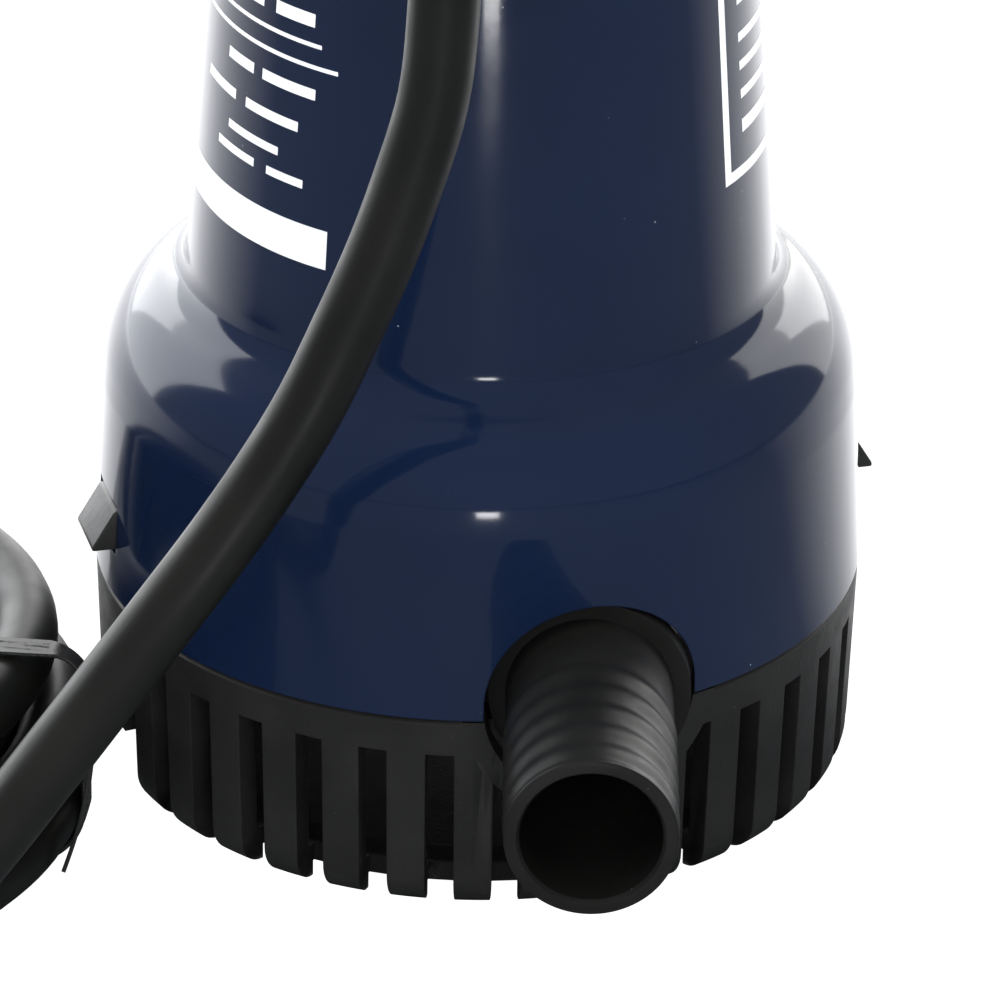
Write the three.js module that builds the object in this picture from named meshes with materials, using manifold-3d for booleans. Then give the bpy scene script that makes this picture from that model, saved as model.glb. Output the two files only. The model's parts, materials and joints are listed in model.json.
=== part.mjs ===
// Submersible bilge pump: a motor housing with a side outlet, snapped onto a slotted
// strainer base, with a two-core cable out of its top. Millimetres, +Z up, and the
// origin is the centre of the underside of the base. The outlet points to -Y.

import * as THREE from 'three';
import { mergeVertices } from 'three/addons/utils/BufferGeometryUtils.js';
import Module from 'manifold-3d';

const wasm = await Module();
wasm.setup();

// ---------------------------------------------------------------- driving dimensions

const TOUCH_GAP = 0.3; // left between pieces that rest on each other
const PRESS_GAP = 0.15; // left round a shaft in a pressed hub

const BASE = {
  footRadius: 45.2, topRadius: 45.9, height: 26, wall: 3.2,
  footRounding: 3.2, floorThickness: 2.6,
};
const COLLAR = { outerRadius: 43.1, wall: 1.7, top: 31 };
const SLOTS = { count: 36, width: 3.4, top: 21.5, depthRadius: 40.6 };
const BASE_SCREW_HOLES = { count: 3, radius: 2.4, circle: 33, first: 60 };

const SHELL = {
  rimRadius: 46, rimZ: 26.3, creaseRadius: 45, creaseZ: 49.7, wall: 2.2,
  shoulderCentreRadius: 34.3, shoulderCentreZ: 49.6, shoulderReach: 10.6, shoulderRise: 12.6,
  neckRadius: 34.9, neckZ: 66.2, topRadius: 30.7, topZ: 122, topRounding: 4.5, crownZ: 126,
};

const OUTLET = {
  x: 13.27, z: 27.85, radius: 10.03, bore: 8.11, mouthY: -75.5,
  bossRadius: 11.8, bossFaceY: -41.5, bossClearance: 12.25,
  barbs: 5, barbPitch: 4.6, barbHeight: 0.45, barbRise: 0.8, firstBarbY: -52, mouthEdge: 0.5,
  rootY: -18, boreEndY: -2,
};
const ARCH = { rim: 2.6, innerY: -30, outerY: -50 }; // the way for the outlet through base and shell

const LATCH = {
  azimuth: -75, width: 8.4, hingeZ: 9.5, bottomZ: 8.8, armInner: 41.5, armOuter: 43,
  headBottomZ: 32.1, headTopZ: 37.3, headTip: 48.3, sideClearance: 0.35,
};
const LATCH_BAY = {
  panelInner: 44.1, panelHalfWidth: 6.2, footNotchTop: 8.5, rootTop: 12.5, swingRoom: 5.5,
};

const VOLUTE = {
  chamberRadius: 22, wall: 3.4, bottomZ: 17.5, roofZ: 36.4, topZ: 39.9, flangeRadius: 33.8,
  flangeThickness: 3.1, shaftHole: 4.5, screwCircle: 29.8, screwCount: 3, firstScrew: 80,
};
const SUCTION = {
  radius: 25.2, bottomZ: 15, topZ: 17.2, eye: 9, screwCircle: 23.7, screwCount: 3, firstScrew: 120,
};
const COVER_SCREW = { head: 2, headHeight: 1.3, shank: 1, length: 7, hole: 1.3, depth: 8 };
const VOLUTE_SCREW = { head: 2.8, headHeight: 1.8, shank: 1.4, length: 5.2, hole: 1.7, thread: 1.55 };
const BULKHEAD = {
  radius: 42.4, bottomZ: 40.2, topZ: 44.2, hubRadius: 11, sealRadius: 8.2, hubTopZ: 50,
  floor: 1.4, shaftHole: 3,
};
const O_RING = { circle: 42.15, radius: 0.8, z: 42.2, room: 0.15 };
const LIP_SEAL = { height: 3.4, lipZ: 1, lipEdge: 0.4, pocket: 4.6, pocketFloor: 2.4, underside: 5.6 };
const SHAFT = { radius: 2, bottomZ: 18.4, topZ: 106.4 };
const IMPELLER = { radius: 16.5, hub: 4.6, bottomZ: 21.6, shroudZ: 30, topZ: 31.8, blades: 5, blade: 1.6 };
const MOTOR = { radius: 21, wall: 1.4, bottomZ: 50.4, topZ: 104, bearingSeat: 4.4 };
const CORE = { radius: 14.6, bottomZ: 60, topZ: 84, slots: 5, slotWidth: 4.4, slotFloor: 6.4 };
const WINDING = {
  barWidth: 3.6, barInner: 7, barOuter: 13.4, bottomZ: 56, topZ: 88.4, ringOuter: 13.6, ringInner: 7.2,
};
const COMMUTATOR = { radius: 6, bottomZ: 90, topZ: 97.4, bars: 12 };
const MAGNET = { inner: 15.4, outer: 19.2, bottomZ: 57, topZ: 87, halfAngle: 62 };
const BRUSH_CARD = { radius: 19.2, hole: 9.6, bottomZ: 98, topZ: 99.6 };
const BRUSH = { width: 4, height: 5, length: 7, z: 94 };
const SPRING = { radius: 1.3, wire: 0.28, sides: 5, turns: 2.5, stepsPerTurn: 8, length: 4, start: 0.9 };
const LEAD_HOLES = { circle: 13, radius: 1.6 }; // for the two inner leads
const INNER_LEAD = { radius: 1.1, sides: 6, besideAxis: 2.3 };
const SLINGER = { radius: 5.2, bottomZ: 33, topZ: 34.2 };
const IMPELLER_NUT = { flats: 7, bottomZ: 18.6, topZ: 21.3 };

const GLAND = {
  thread: 7, hexFlats: 20, bottomZ: 117, flangeTopZ: 129.4, threadTopZ: 131.2, bore: 4.6,
  capTopZ: 137.4, capHole: 5.7, lockNutTopZ: 122.8, lockNutBottomZ: 119.2,
  capDome: [[12, 3.6], [10, 1.4], [7.6, 0]],
};
const RELIEF = {
  stemRadius: 5.3, stemBottomZ: 132, footRadius: 6.6, footZ: 137.7, footHeight: 2.4,
  tipRadius: 4.7, topZ: 151,
};

const CORD = { radius: 4, sides: 8, steps: 36 };
// Middle line of the cord: from the strain relief's tip, over the front, to the outside of its coil.
const CORD_ROUTE = [
  [0, 0, 151.3], [0, -0.3, 158.5], [-0.4, -3, 170], [-1, -10.2, 181], [-1.7, -21.3, 187.9],
  [-2.4, -34.5, 189.4], [-3.1, -46.8, 185.2], [-3.7, -56.5, 176], [-4.1, -61.5, 163.5],
  [-4.2, -62.7, 150], [-4.2, -62.6, 137], [-4.4, -61.5, 124], [-5.5, -60.5, 112], [-8.7, -60, 100],
  [-11.4, -60, 92], [-15, -60, 83], [-18.9, -61, 74.4], [-23.7, -62, 66], [-28.9, -64, 58.5],
  [-34.6, -66.5, 51.2], [-40.6, -70.8, 44.4], [-47, -76.5, 37.7], [-53.8, -82.5, 30.7],
  [-62, -88.5, 22.8], [-71, -94.5, 16], [-82, -98.3, 10.4], [-94, -98.6, 6.8], [-104.5, -95, 5.5],
  [-115, -88, 5.2], [-124.5, -78.5, 5.2], [-133, -67, 5.2], [-139.9, -54, 5.2], [-144.5, -37.8, 5.2],
];
const COIL = { x: -94, y: -24, innerRadius: 32, outerRadius: 48, bottomZ: 1.2, topZ: 25.2, edge: 2 };
const TIE = { azimuth: 84, width: 3.2, thickness: 0.7 };
const LEAD = {
  radius: 1.5, circle: 28.3, apart: 3.5, startAngle: 40, sweep: 62, inward: 2, sheathZ: 5.2, restZ: 1.8,
  steps: 5, sides: 8, tubeSteps: 8,
};

const ROUND = 44; // facets round the largest turned pieces
const ROUND_INSIDE = 26; // facets round middle-sized pieces inside
const ROUND_SMALL = 16; // facets round small ones
const ROUND_HOLE = 8; // facets round a screw or its hole

// ---------------------------------------------------------------- materials

const plastic = (color, roughness) => new THREE.MeshStandardMaterial({ color, roughness, metalness: 0 });
const metal = (color, roughness) => new THREE.MeshStandardMaterial({ color, roughness, metalness: 1 });

const MATERIALS = {
  blue: () => plastic(0x1c2f52, 0.18),
  black: () => plastic(0x232322, 0.55),
  nozzle: () => plastic(0x1d1d1c, 0.4),
  natural: () => plastic(0xd8d4c4, 0.5),
  rubber: () => plastic(0x1b1b1a, 0.75),
  cable: () => plastic(0x1e1f1c, 0.45),
  red: () => plastic(0xa02018, 0.45),
  carbon: () => plastic(0x2a2a2c, 0.6),
  magnet: () => plastic(0x3a3a3c, 0.7),
  steel: () => metal(0xa8abb0, 0.35),
  stainless: () => metal(0xc4c6c8, 0.28),
  lamination: () => metal(0x6c6e72, 0.5),
  copper: () => metal(0xb87040, 0.35),
  bronze: () => metal(0x9a7440, 0.45),
};

// ---------------------------------------------------------------- geometry helpers

const radians = THREE.MathUtils.degToRad;

/** Geometry with shared vertices merged, no collapsed triangles and its faces pointing out. */
function closed(geometry) {
  const bare = geometry.clone();
  bare.deleteAttribute('normal');
  bare.deleteAttribute('uv');
  const merged = mergeVertices(bare, 1e-4);
  const position = merged.attributes.position;
  const corner = [new THREE.Vector3(), new THREE.Vector3(), new THREE.Vector3()];
  const kept = [];
  let volume = 0;
  for (let i = 0; i < merged.index.count; i += 3) {
    const [a, b, c] = [0, 1, 2].map((k) => merged.index.getX(i + k));
    if (a === b || b === c || c === a) continue;
    kept.push([a, b, c]);
    [a, b, c].forEach((vertex, k) => corner[k].fromBufferAttribute(position, vertex));
    volume += corner[0].dot(corner[1].clone().cross(corner[2]));
  }
  merged.setIndex(kept.flatMap(([a, b, c]) => (volume < 0 ? [a, c, b] : [a, b, c])));
  return merged;
}

function solid(geometry) {
  const { attributes, index } = closed(geometry);
  const vertProperties = new Float32Array(attributes.position.array);
  const triVerts = new Uint32Array(index.array);
  return new wasm.Manifold(new wasm.Mesh({ numProp: 3, vertProperties, triVerts }));
}

function toGeometry(manifold) {
  const { vertProperties, triVerts } = manifold.getMesh();
  const geometry = new THREE.BufferGeometry();
  geometry.setAttribute('position', new THREE.BufferAttribute(new Float32Array(vertProperties), 3));
  geometry.setIndex(new THREE.BufferAttribute(new Uint32Array(triVerts), 1));
  geometry.computeVertexNormals();
  return geometry;
}

/** Turned solid from [radius, z] points; an outline off the axis closes on itself. */
function turned(outline, segments = ROUND) {
  const offAxis = outline[0][0] > 0;
  const points = (offAxis ? [...outline, outline[0]] : outline).map(([r, z]) => new THREE.Vector2(r, z));
  return solid(new THREE.LatheGeometry(points, segments).rotateX(Math.PI / 2));
}

const disc = (radius, bottomZ, topZ, segments = ROUND_SMALL) =>
  turned([[0, bottomZ], [radius, bottomZ], [radius, topZ], [0, topZ]], segments);

const ring = (inner, outer, bottomZ, topZ, segments = ROUND_SMALL) =>
  turned([[inner, bottomZ], [outer, bottomZ], [outer, topZ], [inner, topZ]], segments);

/** Box given by its lowest and highest corners. */
function block([x0, y0, z0], [x1, y1, z1]) {
  const box = new THREE.BoxGeometry(x1 - x0, y1 - y0, z1 - z0);
  return solid(box.translate((x0 + x1) / 2, (y0 + y1) / 2, (z0 + z1) / 2));
}

/** Cylinder along Y through (x, z), between two values of y. */
function barY(radius, x, z, y0, y1, segments = ROUND_INSIDE) {
  const bar = new THREE.CylinderGeometry(radius, radius, Math.abs(y1 - y0), segments);
  return solid(bar.translate(x, (y0 + y1) / 2, z));
}

/** Upright prism from a shape drawn in XY. */
function prism(shape, bottomZ, topZ, curveSegments = 12) {
  const options = { depth: topZ - bottomZ, bevelEnabled: false, curveSegments };
  return solid(new THREE.ExtrudeGeometry(shape, options).translate(0, 0, bottomZ));
}

function hexagon(acrossFlats) {
  const corners = Array.from({ length: 6 }, (_, k) => {
    const angle = radians(60 * k + 30);
    return new THREE.Vector2(Math.cos(angle), Math.sin(angle)).multiplyScalar(acrossFlats / Math.sqrt(3));
  });
  return new THREE.Shape(corners);
}

/** Tube along a smooth line through the given points. */
function cordTube(points, radius, sides, steps) {
  const line = new THREE.CatmullRomCurve3(points.map((p) => new THREE.Vector3(...p)), false, 'centripetal');
  const corners = Array.from({ length: sides }, (_, k) => {
    const angle = (2 * Math.PI * k) / sides;
    return new THREE.Vector2(Math.cos(angle), Math.sin(angle)).multiplyScalar(radius);
  });
  return solid(new THREE.ExtrudeGeometry(new THREE.Shape(corners), { steps, extrudePath: line }));
}

/** Azimuth 0 is the -Y side, and +90 is the +X side. */
const turnedTo = (manifold, azimuth) => manifold.rotate([0, 0, azimuth]);

const evenly = (count, first = 0) => Array.from({ length: count }, (_, k) => first + (360 * k) / count);

const placeOnCircle = (manifold, circle, azimuth) => turnedTo(manifold.translate([0, -circle, 0]), azimuth);

const joined = (manifolds) => manifolds.reduce((sum, next) => sum.add(next));

const cutBy = (manifold, cutters) => cutters.reduce((rest, cutter) => rest.subtract(cutter), manifold);

const pump = new THREE.Group();

function addPart(name, material, manifold) {
  const mesh = new THREE.Mesh(toGeometry(manifold), MATERIALS[material]());
  mesh.name = name;
  pump.add(mesh);
}

// ---------------------------------------------------------------- strainer base

const latchAzimuths = { left: LATCH.azimuth, right: LATCH.azimuth + 180 };

function baseOutline() {
  const { footRadius, topRadius, height, wall, footRounding, floorThickness } = BASE;
  const rounding = [0, 30, 60, 90].map((step) => [
    footRadius - footRounding + footRounding * Math.sin(radians(step)),
    footRounding - footRounding * Math.cos(radians(step)),
  ]);
  const collarInner = COLLAR.outerRadius - COLLAR.wall;
  return [
    [0, 0], ...rounding, [topRadius, height], [COLLAR.outerRadius, height],
    [COLLAR.outerRadius, COLLAR.top], [collarInner, COLLAR.top], [collarInner, height - 1],
    [topRadius - wall, height - 3], [footRadius - wall, floorThickness], [0, floorThickness],
  ];
}

function baseSlots() {
  const { count, width, top, depthRadius } = SLOTS;
  const slot = block([-width / 2, -BASE.topRadius - 1, -1], [width / 2, -depthRadius, top]);
  const pitch = 360 / count;
  const isPanel = (azimuth) => Object.values(latchAzimuths).some((latch) => {
    const away = Math.abs(((azimuth - latch + 540) % 360) - 180);
    return away < LATCH_BAY.panelHalfWidth;
  });
  const azimuths = evenly(count, pitch / 2).filter((azimuth) => !isPanel(azimuth));
  return azimuths.map((azimuth) => turnedTo(slot, azimuth));
}

/** Room for a latch: behind its panel, through the collar, and the notch under the panel. */
function latchBay(azimuth) {
  const half = LATCH.width / 2 + LATCH.sideClearance;
  const innerY = -LATCH.armInner + LATCH_BAY.swingRoom;
  const rootY = -LATCH.armOuter - TOUCH_GAP;
  const low = block([-half, rootY, BASE.floorThickness], [half, innerY, LATCH_BAY.rootTop + 1]);
  const high = block([-half, -LATCH_BAY.panelInner, LATCH_BAY.rootTop], [half, innerY, COLLAR.top + 1]);
  const { panelHalfWidth, footNotchTop } = LATCH_BAY;
  const notchLow = [-panelHalfWidth, -BASE.topRadius - 1, -1];
  const notch = block(notchLow, [panelHalfWidth, -SLOTS.depthRadius, footNotchTop]);
  return turnedTo(joined([low, high, notch]), azimuth);
}

function outletNotch(radius, bottomZ, topZ) {
  const { x, z } = OUTLET;
  const round = barY(radius, x, z, ARCH.outerY, ARCH.innerY);
  const straight = block([x - radius, ARCH.outerY, bottomZ], [x + radius, ARCH.innerY, topZ]);
  return round.add(straight);
}

/** Thick rim round the outlet's notch, which closes the slots beside it. */
function notchRim() {
  const { x, z, bossClearance } = OUTLET;
  const rim = barY(bossClearance + ARCH.rim, x, z, ARCH.outerY, ARCH.innerY);
  const between = turned([
    [BASE.footRadius - BASE.wall, BASE.floorThickness], [BASE.footRadius, BASE.floorThickness],
    [BASE.topRadius, BASE.height], [BASE.topRadius - BASE.wall, BASE.height],
  ]);
  return rim.intersect(between);
}

function strainerBase() {
  const slotted = cutBy(turned(baseOutline()), baseSlots()).add(notchRim());
  const notch = outletNotch(OUTLET.bossClearance, OUTLET.z, COLLAR.top + 1);
  const hole = disc(BASE_SCREW_HOLES.radius, -1, BASE.floorThickness + 1, ROUND_HOLE);
  const { count, circle, first } = BASE_SCREW_HOLES;
  const screwHoles = evenly(count, first).map((azimuth) => placeOnCircle(hole, circle, azimuth));
  return cutBy(slotted, [notch, ...screwHoles, ...Object.values(latchAzimuths).map(latchBay)]);
}

addPart('strainer_base', 'black', strainerBase());

// ---------------------------------------------------------------- latches

/** Flexible arm with a sloped head, drawn as [outwards, z] and extruded sideways. */
function latch(azimuth) {
  const { armInner, armOuter, bottomZ, headBottomZ, headTopZ, headTip, width } = LATCH;
  const outline = [
    [armInner, bottomZ], [armOuter, bottomZ], [armOuter, headBottomZ], [headTip, headBottomZ],
    [headTip, headBottomZ + 0.5], [SHELL.rimRadius - 0.4, headTopZ - 0.3], [SHELL.rimRadius - 1.2, headTopZ],
    [armInner, headTopZ],
  ];
  const shape = new THREE.Shape(outline.map(([out, z]) => new THREE.Vector2(out, z)));
  const flat = new THREE.ExtrudeGeometry(shape, { depth: width, bevelEnabled: false });
  flat.translate(0, 0, -width / 2).rotateX(Math.PI / 2).rotateZ(-Math.PI / 2);
  return turnedTo(solid(flat), azimuth);
}

addPart('latch_left', 'black', latch(latchAzimuths.left));
addPart('latch_right', 'black', latch(latchAzimuths.right));

// ---------------------------------------------------------------- motor housing shell

/** Outer line of the shell, from its rim to the middle of its crown, moved in by inset. */
function shellLine(inset) {
  const { rimRadius, rimZ, creaseRadius, creaseZ, neckRadius, neckZ } = SHELL;
  const { topRadius, topZ, topRounding, crownZ } = SHELL;
  const shoulder = [14, 34, 54, 74].map((step) => [
    SHELL.shoulderCentreRadius + (SHELL.shoulderReach - inset) * Math.cos(radians(step)),
    SHELL.shoulderCentreZ + (SHELL.shoulderRise - inset) * Math.sin(radians(step)),
  ]);
  const topEdge = [20, 70].map((step) => [
    topRadius - topRounding + (topRounding - inset) * Math.cos(radians(step)),
    topZ - 1.5 + (topRounding - inset) * Math.sin(radians(step)),
  ]);
  return [
    [rimRadius - inset, rimZ], [creaseRadius - inset, creaseZ], ...shoulder,
    [neckRadius + 0.4 - inset, neckZ - 2.4], [neckRadius - inset, neckZ], [topRadius - inset, topZ - 1],
    ...topEdge, [GLAND.hexFlats / 2 + 2, crownZ - inset], [0, crownZ - inset],
  ];
}

function outerHousing() {
  const outside = turned([[0, SHELL.rimZ], ...shellLine(0)]);
  const below = SHELL.rimZ - 1;
  const inside = turned([[0, below], [SHELL.rimRadius - SHELL.wall, below], ...shellLine(SHELL.wall)]);
  const half = LATCH.width / 2 + LATCH.sideClearance;
  const window = block([-half, -60, LATCH.headBottomZ - 0.6], [half, -40, LATCH.headTopZ + 0.6]);
  const windows = Object.values(latchAzimuths).map((azimuth) => turnedTo(window, azimuth));
  const cableHole = disc(GLAND.thread + TOUCH_GAP, SHELL.crownZ - 5, SHELL.crownZ + 1);
  const arch = outletNotch(OUTLET.bossClearance, SHELL.rimZ - 1, OUTLET.z);
  return cutBy(outside, [inside, arch, cableHole, ...windows]);
}

addPart('outer_housing', 'blue', outerHousing());

// ---------------------------------------------------------------- volute casing and outlet

function screw({ head, headHeight, shank, length }) {
  return disc(head, -headHeight, 0, ROUND_HOLE).add(disc(shank, -headHeight / 2, length, ROUND_HOLE));
}

/** Barrel of the outlet, with shallow hose barbs that rise towards the boss. */
function outletBarrel() {
  const { radius, mouthY, mouthEdge, rootY, barbs, barbPitch, barbHeight, barbRise, firstBarbY } = OUTLET;
  const along = (y) => -y;
  const low = radius - barbHeight;
  const outline = [[0, along(rootY)], [low, along(rootY)], [low, along(firstBarbY)]];
  for (let k = 0; k < barbs; k += 1) {
    const start = firstBarbY - k * barbPitch;
    outline.push([radius, along(start - barbRise)], [low, along(start - barbPitch)]);
  }
  outline.push([radius, along(mouthY + 2 * mouthEdge)], [radius - mouthEdge, along(mouthY)]);
  outline.push([0, along(mouthY)]);
  const points = outline.map(([r, y]) => new THREE.Vector2(r, y));
  const barrel = new THREE.LatheGeometry(points, ROUND_INSIDE);
  return solid(barrel.rotateX(Math.PI).translate(OUTLET.x, 0, OUTLET.z));
}

function voluteCasing() {
  const {
    chamberRadius, wall, bottomZ, roofZ, topZ, flangeRadius, flangeThickness, shaftHole, screwCircle,
    screwCount,
  } = VOLUTE;
  const drum = disc(chamberRadius + wall, bottomZ, topZ, ROUND_INSIDE);
  const flange = disc(flangeRadius, topZ - flangeThickness, topZ, ROUND_INSIDE);
  const boss = barY(OUTLET.bossRadius, OUTLET.x, OUTLET.z, OUTLET.bossFaceY, OUTLET.bossFaceY + wall);
  const body = joined([drum, flange, boss, outletBarrel()]);
  const chamber = disc(chamberRadius, bottomZ - 1, roofZ, ROUND_INSIDE);
  const bore = barY(OUTLET.bore, OUTLET.x, OUTLET.z, OUTLET.mouthY - 1, OUTLET.boreEndY);
  const coverCircle = SUCTION.screwCircle;
  const flangeHole = disc(VOLUTE_SCREW.hole, roofZ - 1, topZ + 1, ROUND_HOLE);
  const coverHole = disc(COVER_SCREW.hole, bottomZ - 1, bottomZ + COVER_SCREW.depth, ROUND_HOLE);
  return cutBy(body, [
    chamber, bore, disc(shaftHole, roofZ - 1, topZ + 1),
    ...evenly(screwCount, VOLUTE.firstScrew).map((a) => placeOnCircle(flangeHole, screwCircle, a)),
    ...evenly(SUCTION.screwCount, SUCTION.firstScrew).map((a) => placeOnCircle(coverHole, coverCircle, a)),
  ]);
}

function suctionCover() {
  const { radius, bottomZ, topZ, eye, screwCircle, screwCount, firstScrew } = SUCTION;
  const hole = disc(COVER_SCREW.hole, bottomZ - 1, topZ + 1, ROUND_HOLE);
  const holes = evenly(screwCount, firstScrew).map((a) => placeOnCircle(hole, screwCircle, a));
  return cutBy(ring(eye, radius, bottomZ, topZ, ROUND_INSIDE), holes);
}

addPart('volute_casing', 'nozzle', voluteCasing());
addPart('suction_cover', 'black', suctionCover());

const coverScrew = screw(COVER_SCREW);
evenly(SUCTION.screwCount, SUCTION.firstScrew).forEach((azimuth, k) => {
  const placed = coverScrew.translate([0, 0, SUCTION.bottomZ - TOUCH_GAP]);
  addPart(`cover_screw_${k + 1}`, 'stainless', placeOnCircle(placed, SUCTION.screwCircle, azimuth));
});

const voluteScrew = screw(VOLUTE_SCREW);
evenly(VOLUTE.screwCount, VOLUTE.firstScrew).forEach((azimuth, k) => {
  const placed = voluteScrew.translate([0, 0, VOLUTE.topZ - VOLUTE.flangeThickness - TOUCH_GAP]);
  addPart(`volute_screw_${k + 1}`, 'stainless', placeOnCircle(placed, VOLUTE.screwCircle, azimuth));
});

// ---------------------------------------------------------------- bulkhead and seals

function bulkhead() {
  const { radius, bottomZ, topZ, hubRadius, sealRadius, hubTopZ, floor, shaftHole } = BULKHEAD;
  const halfGroove = O_RING.radius + O_RING.room;
  const grooveFloor = O_RING.circle - halfGroove;
  const groove = [
    [radius, O_RING.z - halfGroove], [grooveFloor, O_RING.z - halfGroove],
    [grooveFloor, O_RING.z + halfGroove], [radius, O_RING.z + halfGroove],
  ];
  const body = turned([
    [shaftHole, bottomZ], [radius, bottomZ], ...groove, [radius, topZ], [hubRadius, topZ],
    [hubRadius, hubTopZ],
    [sealRadius, hubTopZ], [sealRadius, bottomZ + floor], [shaftHole, bottomZ + floor],
  ], ROUND_INSIDE);
  const screwHole = disc(VOLUTE_SCREW.thread, bottomZ - 1, bottomZ + 3, ROUND_HOLE);
  const azimuths = evenly(VOLUTE.screwCount, VOLUTE.firstScrew);
  const holes = azimuths.map((azimuth) => placeOnCircle(screwHole, VOLUTE.screwCircle, azimuth));
  return cutBy(body, holes);
}

function oRing() {
  const circle = Array.from({ length: 6 }, (_, k) => [
    O_RING.circle + O_RING.radius * Math.cos(radians(60 * k)),
    O_RING.z + O_RING.radius * Math.sin(radians(60 * k)),
  ]);
  return turned(circle, ROUND_INSIDE);
}

/** Rubber shaft seal: an outer ring with a lip that slopes down to the shaft. */
function lipSeal(bottomZ) {
  const outer = BULKHEAD.sealRadius - 0.15;
  const lip = SHAFT.radius + 0.05;
  const { height, lipZ, lipEdge, pocket, pocketFloor, underside } = LIP_SEAL;
  return turned([
    [outer, bottomZ], [outer, bottomZ + height], [pocket, bottomZ + height], [pocket, bottomZ + pocketFloor],
    [lip, bottomZ + lipZ], [lip, bottomZ + lipEdge], [underside, bottomZ],
  ], ROUND_SMALL);
}

const lowerSealZ = BULKHEAD.bottomZ + BULKHEAD.floor + TOUCH_GAP;
addPart('bulkhead', 'black', bulkhead());
addPart('housing_o_ring', 'rubber', oRing());
addPart('lip_seal_lower', 'rubber', lipSeal(lowerSealZ));
addPart('lip_seal_upper', 'rubber', lipSeal(lowerSealZ + LIP_SEAL.height + 2 * TOUCH_GAP));

// ---------------------------------------------------------------- motor stator

function motorCan() {
  const { radius, wall, bottomZ, topZ, bearingSeat } = MOTOR;
  return turned([
    [bearingSeat, bottomZ], [radius - 2, bottomZ], [radius, bottomZ + 2], [radius, topZ],
    [radius - wall, topZ], [radius - wall, bottomZ + wall], [bearingSeat, bottomZ + wall],
  ], ROUND_INSIDE);
}

function endBell() {
  const { radius, wall, topZ, bearingSeat } = MOTOR;
  const spigot = radius - wall - TOUCH_GAP;
  const body = turned([
    [bearingSeat, topZ - 2], [spigot, topZ - 2], [spigot, topZ + TOUCH_GAP], [radius, topZ + TOUCH_GAP],
    [radius, topZ + 2], [bearingSeat + 3, topZ + 4], [bearingSeat, topZ + 4],
  ], ROUND_INSIDE);
  const leadHole = disc(LEAD_HOLES.radius, topZ - 3, topZ + 5, ROUND_HOLE);
  return cutBy(body, [0, 180].map((azimuth) => placeOnCircle(leadHole, LEAD_HOLES.circle, azimuth)));
}

function magnet(azimuth) {
  const { inner, outer, bottomZ, topZ, halfAngle } = MAGNET;
  const shape = new THREE.Shape();
  shape.absarc(0, 0, outer, radians(-halfAngle), radians(halfAngle), false);
  shape.absarc(0, 0, inner, radians(halfAngle), radians(-halfAngle), true);
  return turnedTo(prism(shape, bottomZ, topZ, 8), azimuth);
}

const bearing = (bottomZ) => ring(SHAFT.radius + 0.04, MOTOR.bearingSeat - PRESS_GAP, bottomZ, bottomZ + 4.5);

addPart('motor_can', 'steel', motorCan());
addPart('end_bell', 'steel', endBell());
addPart('magnet_a', 'magnet', magnet(0));
addPart('magnet_b', 'magnet', magnet(180));
addPart('bearing_lower', 'bronze', bearing(MOTOR.bottomZ));
addPart('bearing_upper', 'bronze', bearing(MOTOR.topZ - 1));

// ---------------------------------------------------------------- brush gear

function brushCard() {
  const { radius, hole, bottomZ, topZ } = BRUSH_CARD;
  const leadHole = disc(LEAD_HOLES.radius, bottomZ - 1, topZ + 1, ROUND_HOLE);
  const leadHoles = [0, 180].map((azimuth) => placeOnCircle(leadHole, LEAD_HOLES.circle, azimuth));
  return cutBy(ring(hole, radius, bottomZ, topZ, ROUND_INSIDE), leadHoles);
}

function brush(azimuth) {
  const { width, height, length, z } = BRUSH;
  const inner = COMMUTATOR.radius + 0.05;
  const low = [-width / 2, -inner - length, z - height / 2];
  const stick = block(low, [width / 2, -inner + 0.4, z + height / 2]);
  return turnedTo(stick.subtract(disc(inner, z - height, z + height, ROUND_INSIDE)), azimuth);
}

/** Coil spring that pushes a brush onto the commutator, as a tube along a helix. */
function brushSpring(azimuth) {
  const { radius, wire, sides, turns, stepsPerTurn, length } = SPRING;
  const start = COMMUTATOR.radius + BRUSH.length + SPRING.start;
  const steps = turns * stepsPerTurn;
  const points = Array.from({ length: steps + 1 }, (_, k) => {
    const angle = (2 * Math.PI * k) / stepsPerTurn;
    return [radius * Math.cos(angle), -start - (length * k) / steps, BRUSH.z + radius * Math.sin(angle)];
  });
  return turnedTo(cordTube(points, wire, sides, steps), azimuth);
}

addPart('brush_card', 'natural', brushCard());
addPart('brush_a', 'carbon', brush(90));
addPart('brush_b', 'carbon', brush(270));
addPart('brush_spring_a', 'stainless', brushSpring(90));
addPart('brush_spring_b', 'stainless', brushSpring(270));

// ---------------------------------------------------------------- rotor and impeller

const onShaft = SHAFT.radius + PRESS_GAP;

function armatureCore() {
  const { radius, bottomZ, topZ, slots, slotWidth, slotFloor } = CORE;
  const slot = block([-slotWidth / 2, -radius - 1, bottomZ - 1], [slotWidth / 2, -slotFloor, topZ + 1]);
  const core = ring(onShaft, radius, bottomZ, topZ, ROUND_INSIDE);
  return cutBy(core, evenly(slots).map((azimuth) => turnedTo(slot, azimuth)));
}

/** Copper in the core's slots, joined by the end turns above and below the core. */
function armatureWindings() {
  const { barWidth, barInner, barOuter, bottomZ, topZ, ringOuter, ringInner } = WINDING;
  const bar = block([-barWidth / 2, -barOuter, bottomZ + 1], [barWidth / 2, -barInner, topZ - 1]);
  const endTurns = (low, high) => turned([
    [ringInner, low], [ringOuter - 1.5, low], [ringOuter, (low + high) / 2], [ringOuter - 1.5, high],
    [ringInner, high],
  ], ROUND_SMALL);
  const rings = [endTurns(bottomZ, CORE.bottomZ - TOUCH_GAP), endTurns(CORE.topZ + TOUCH_GAP, topZ)];
  return joined([...rings, ...evenly(CORE.slots).map((azimuth) => turnedTo(bar, azimuth))]);
}

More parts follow.
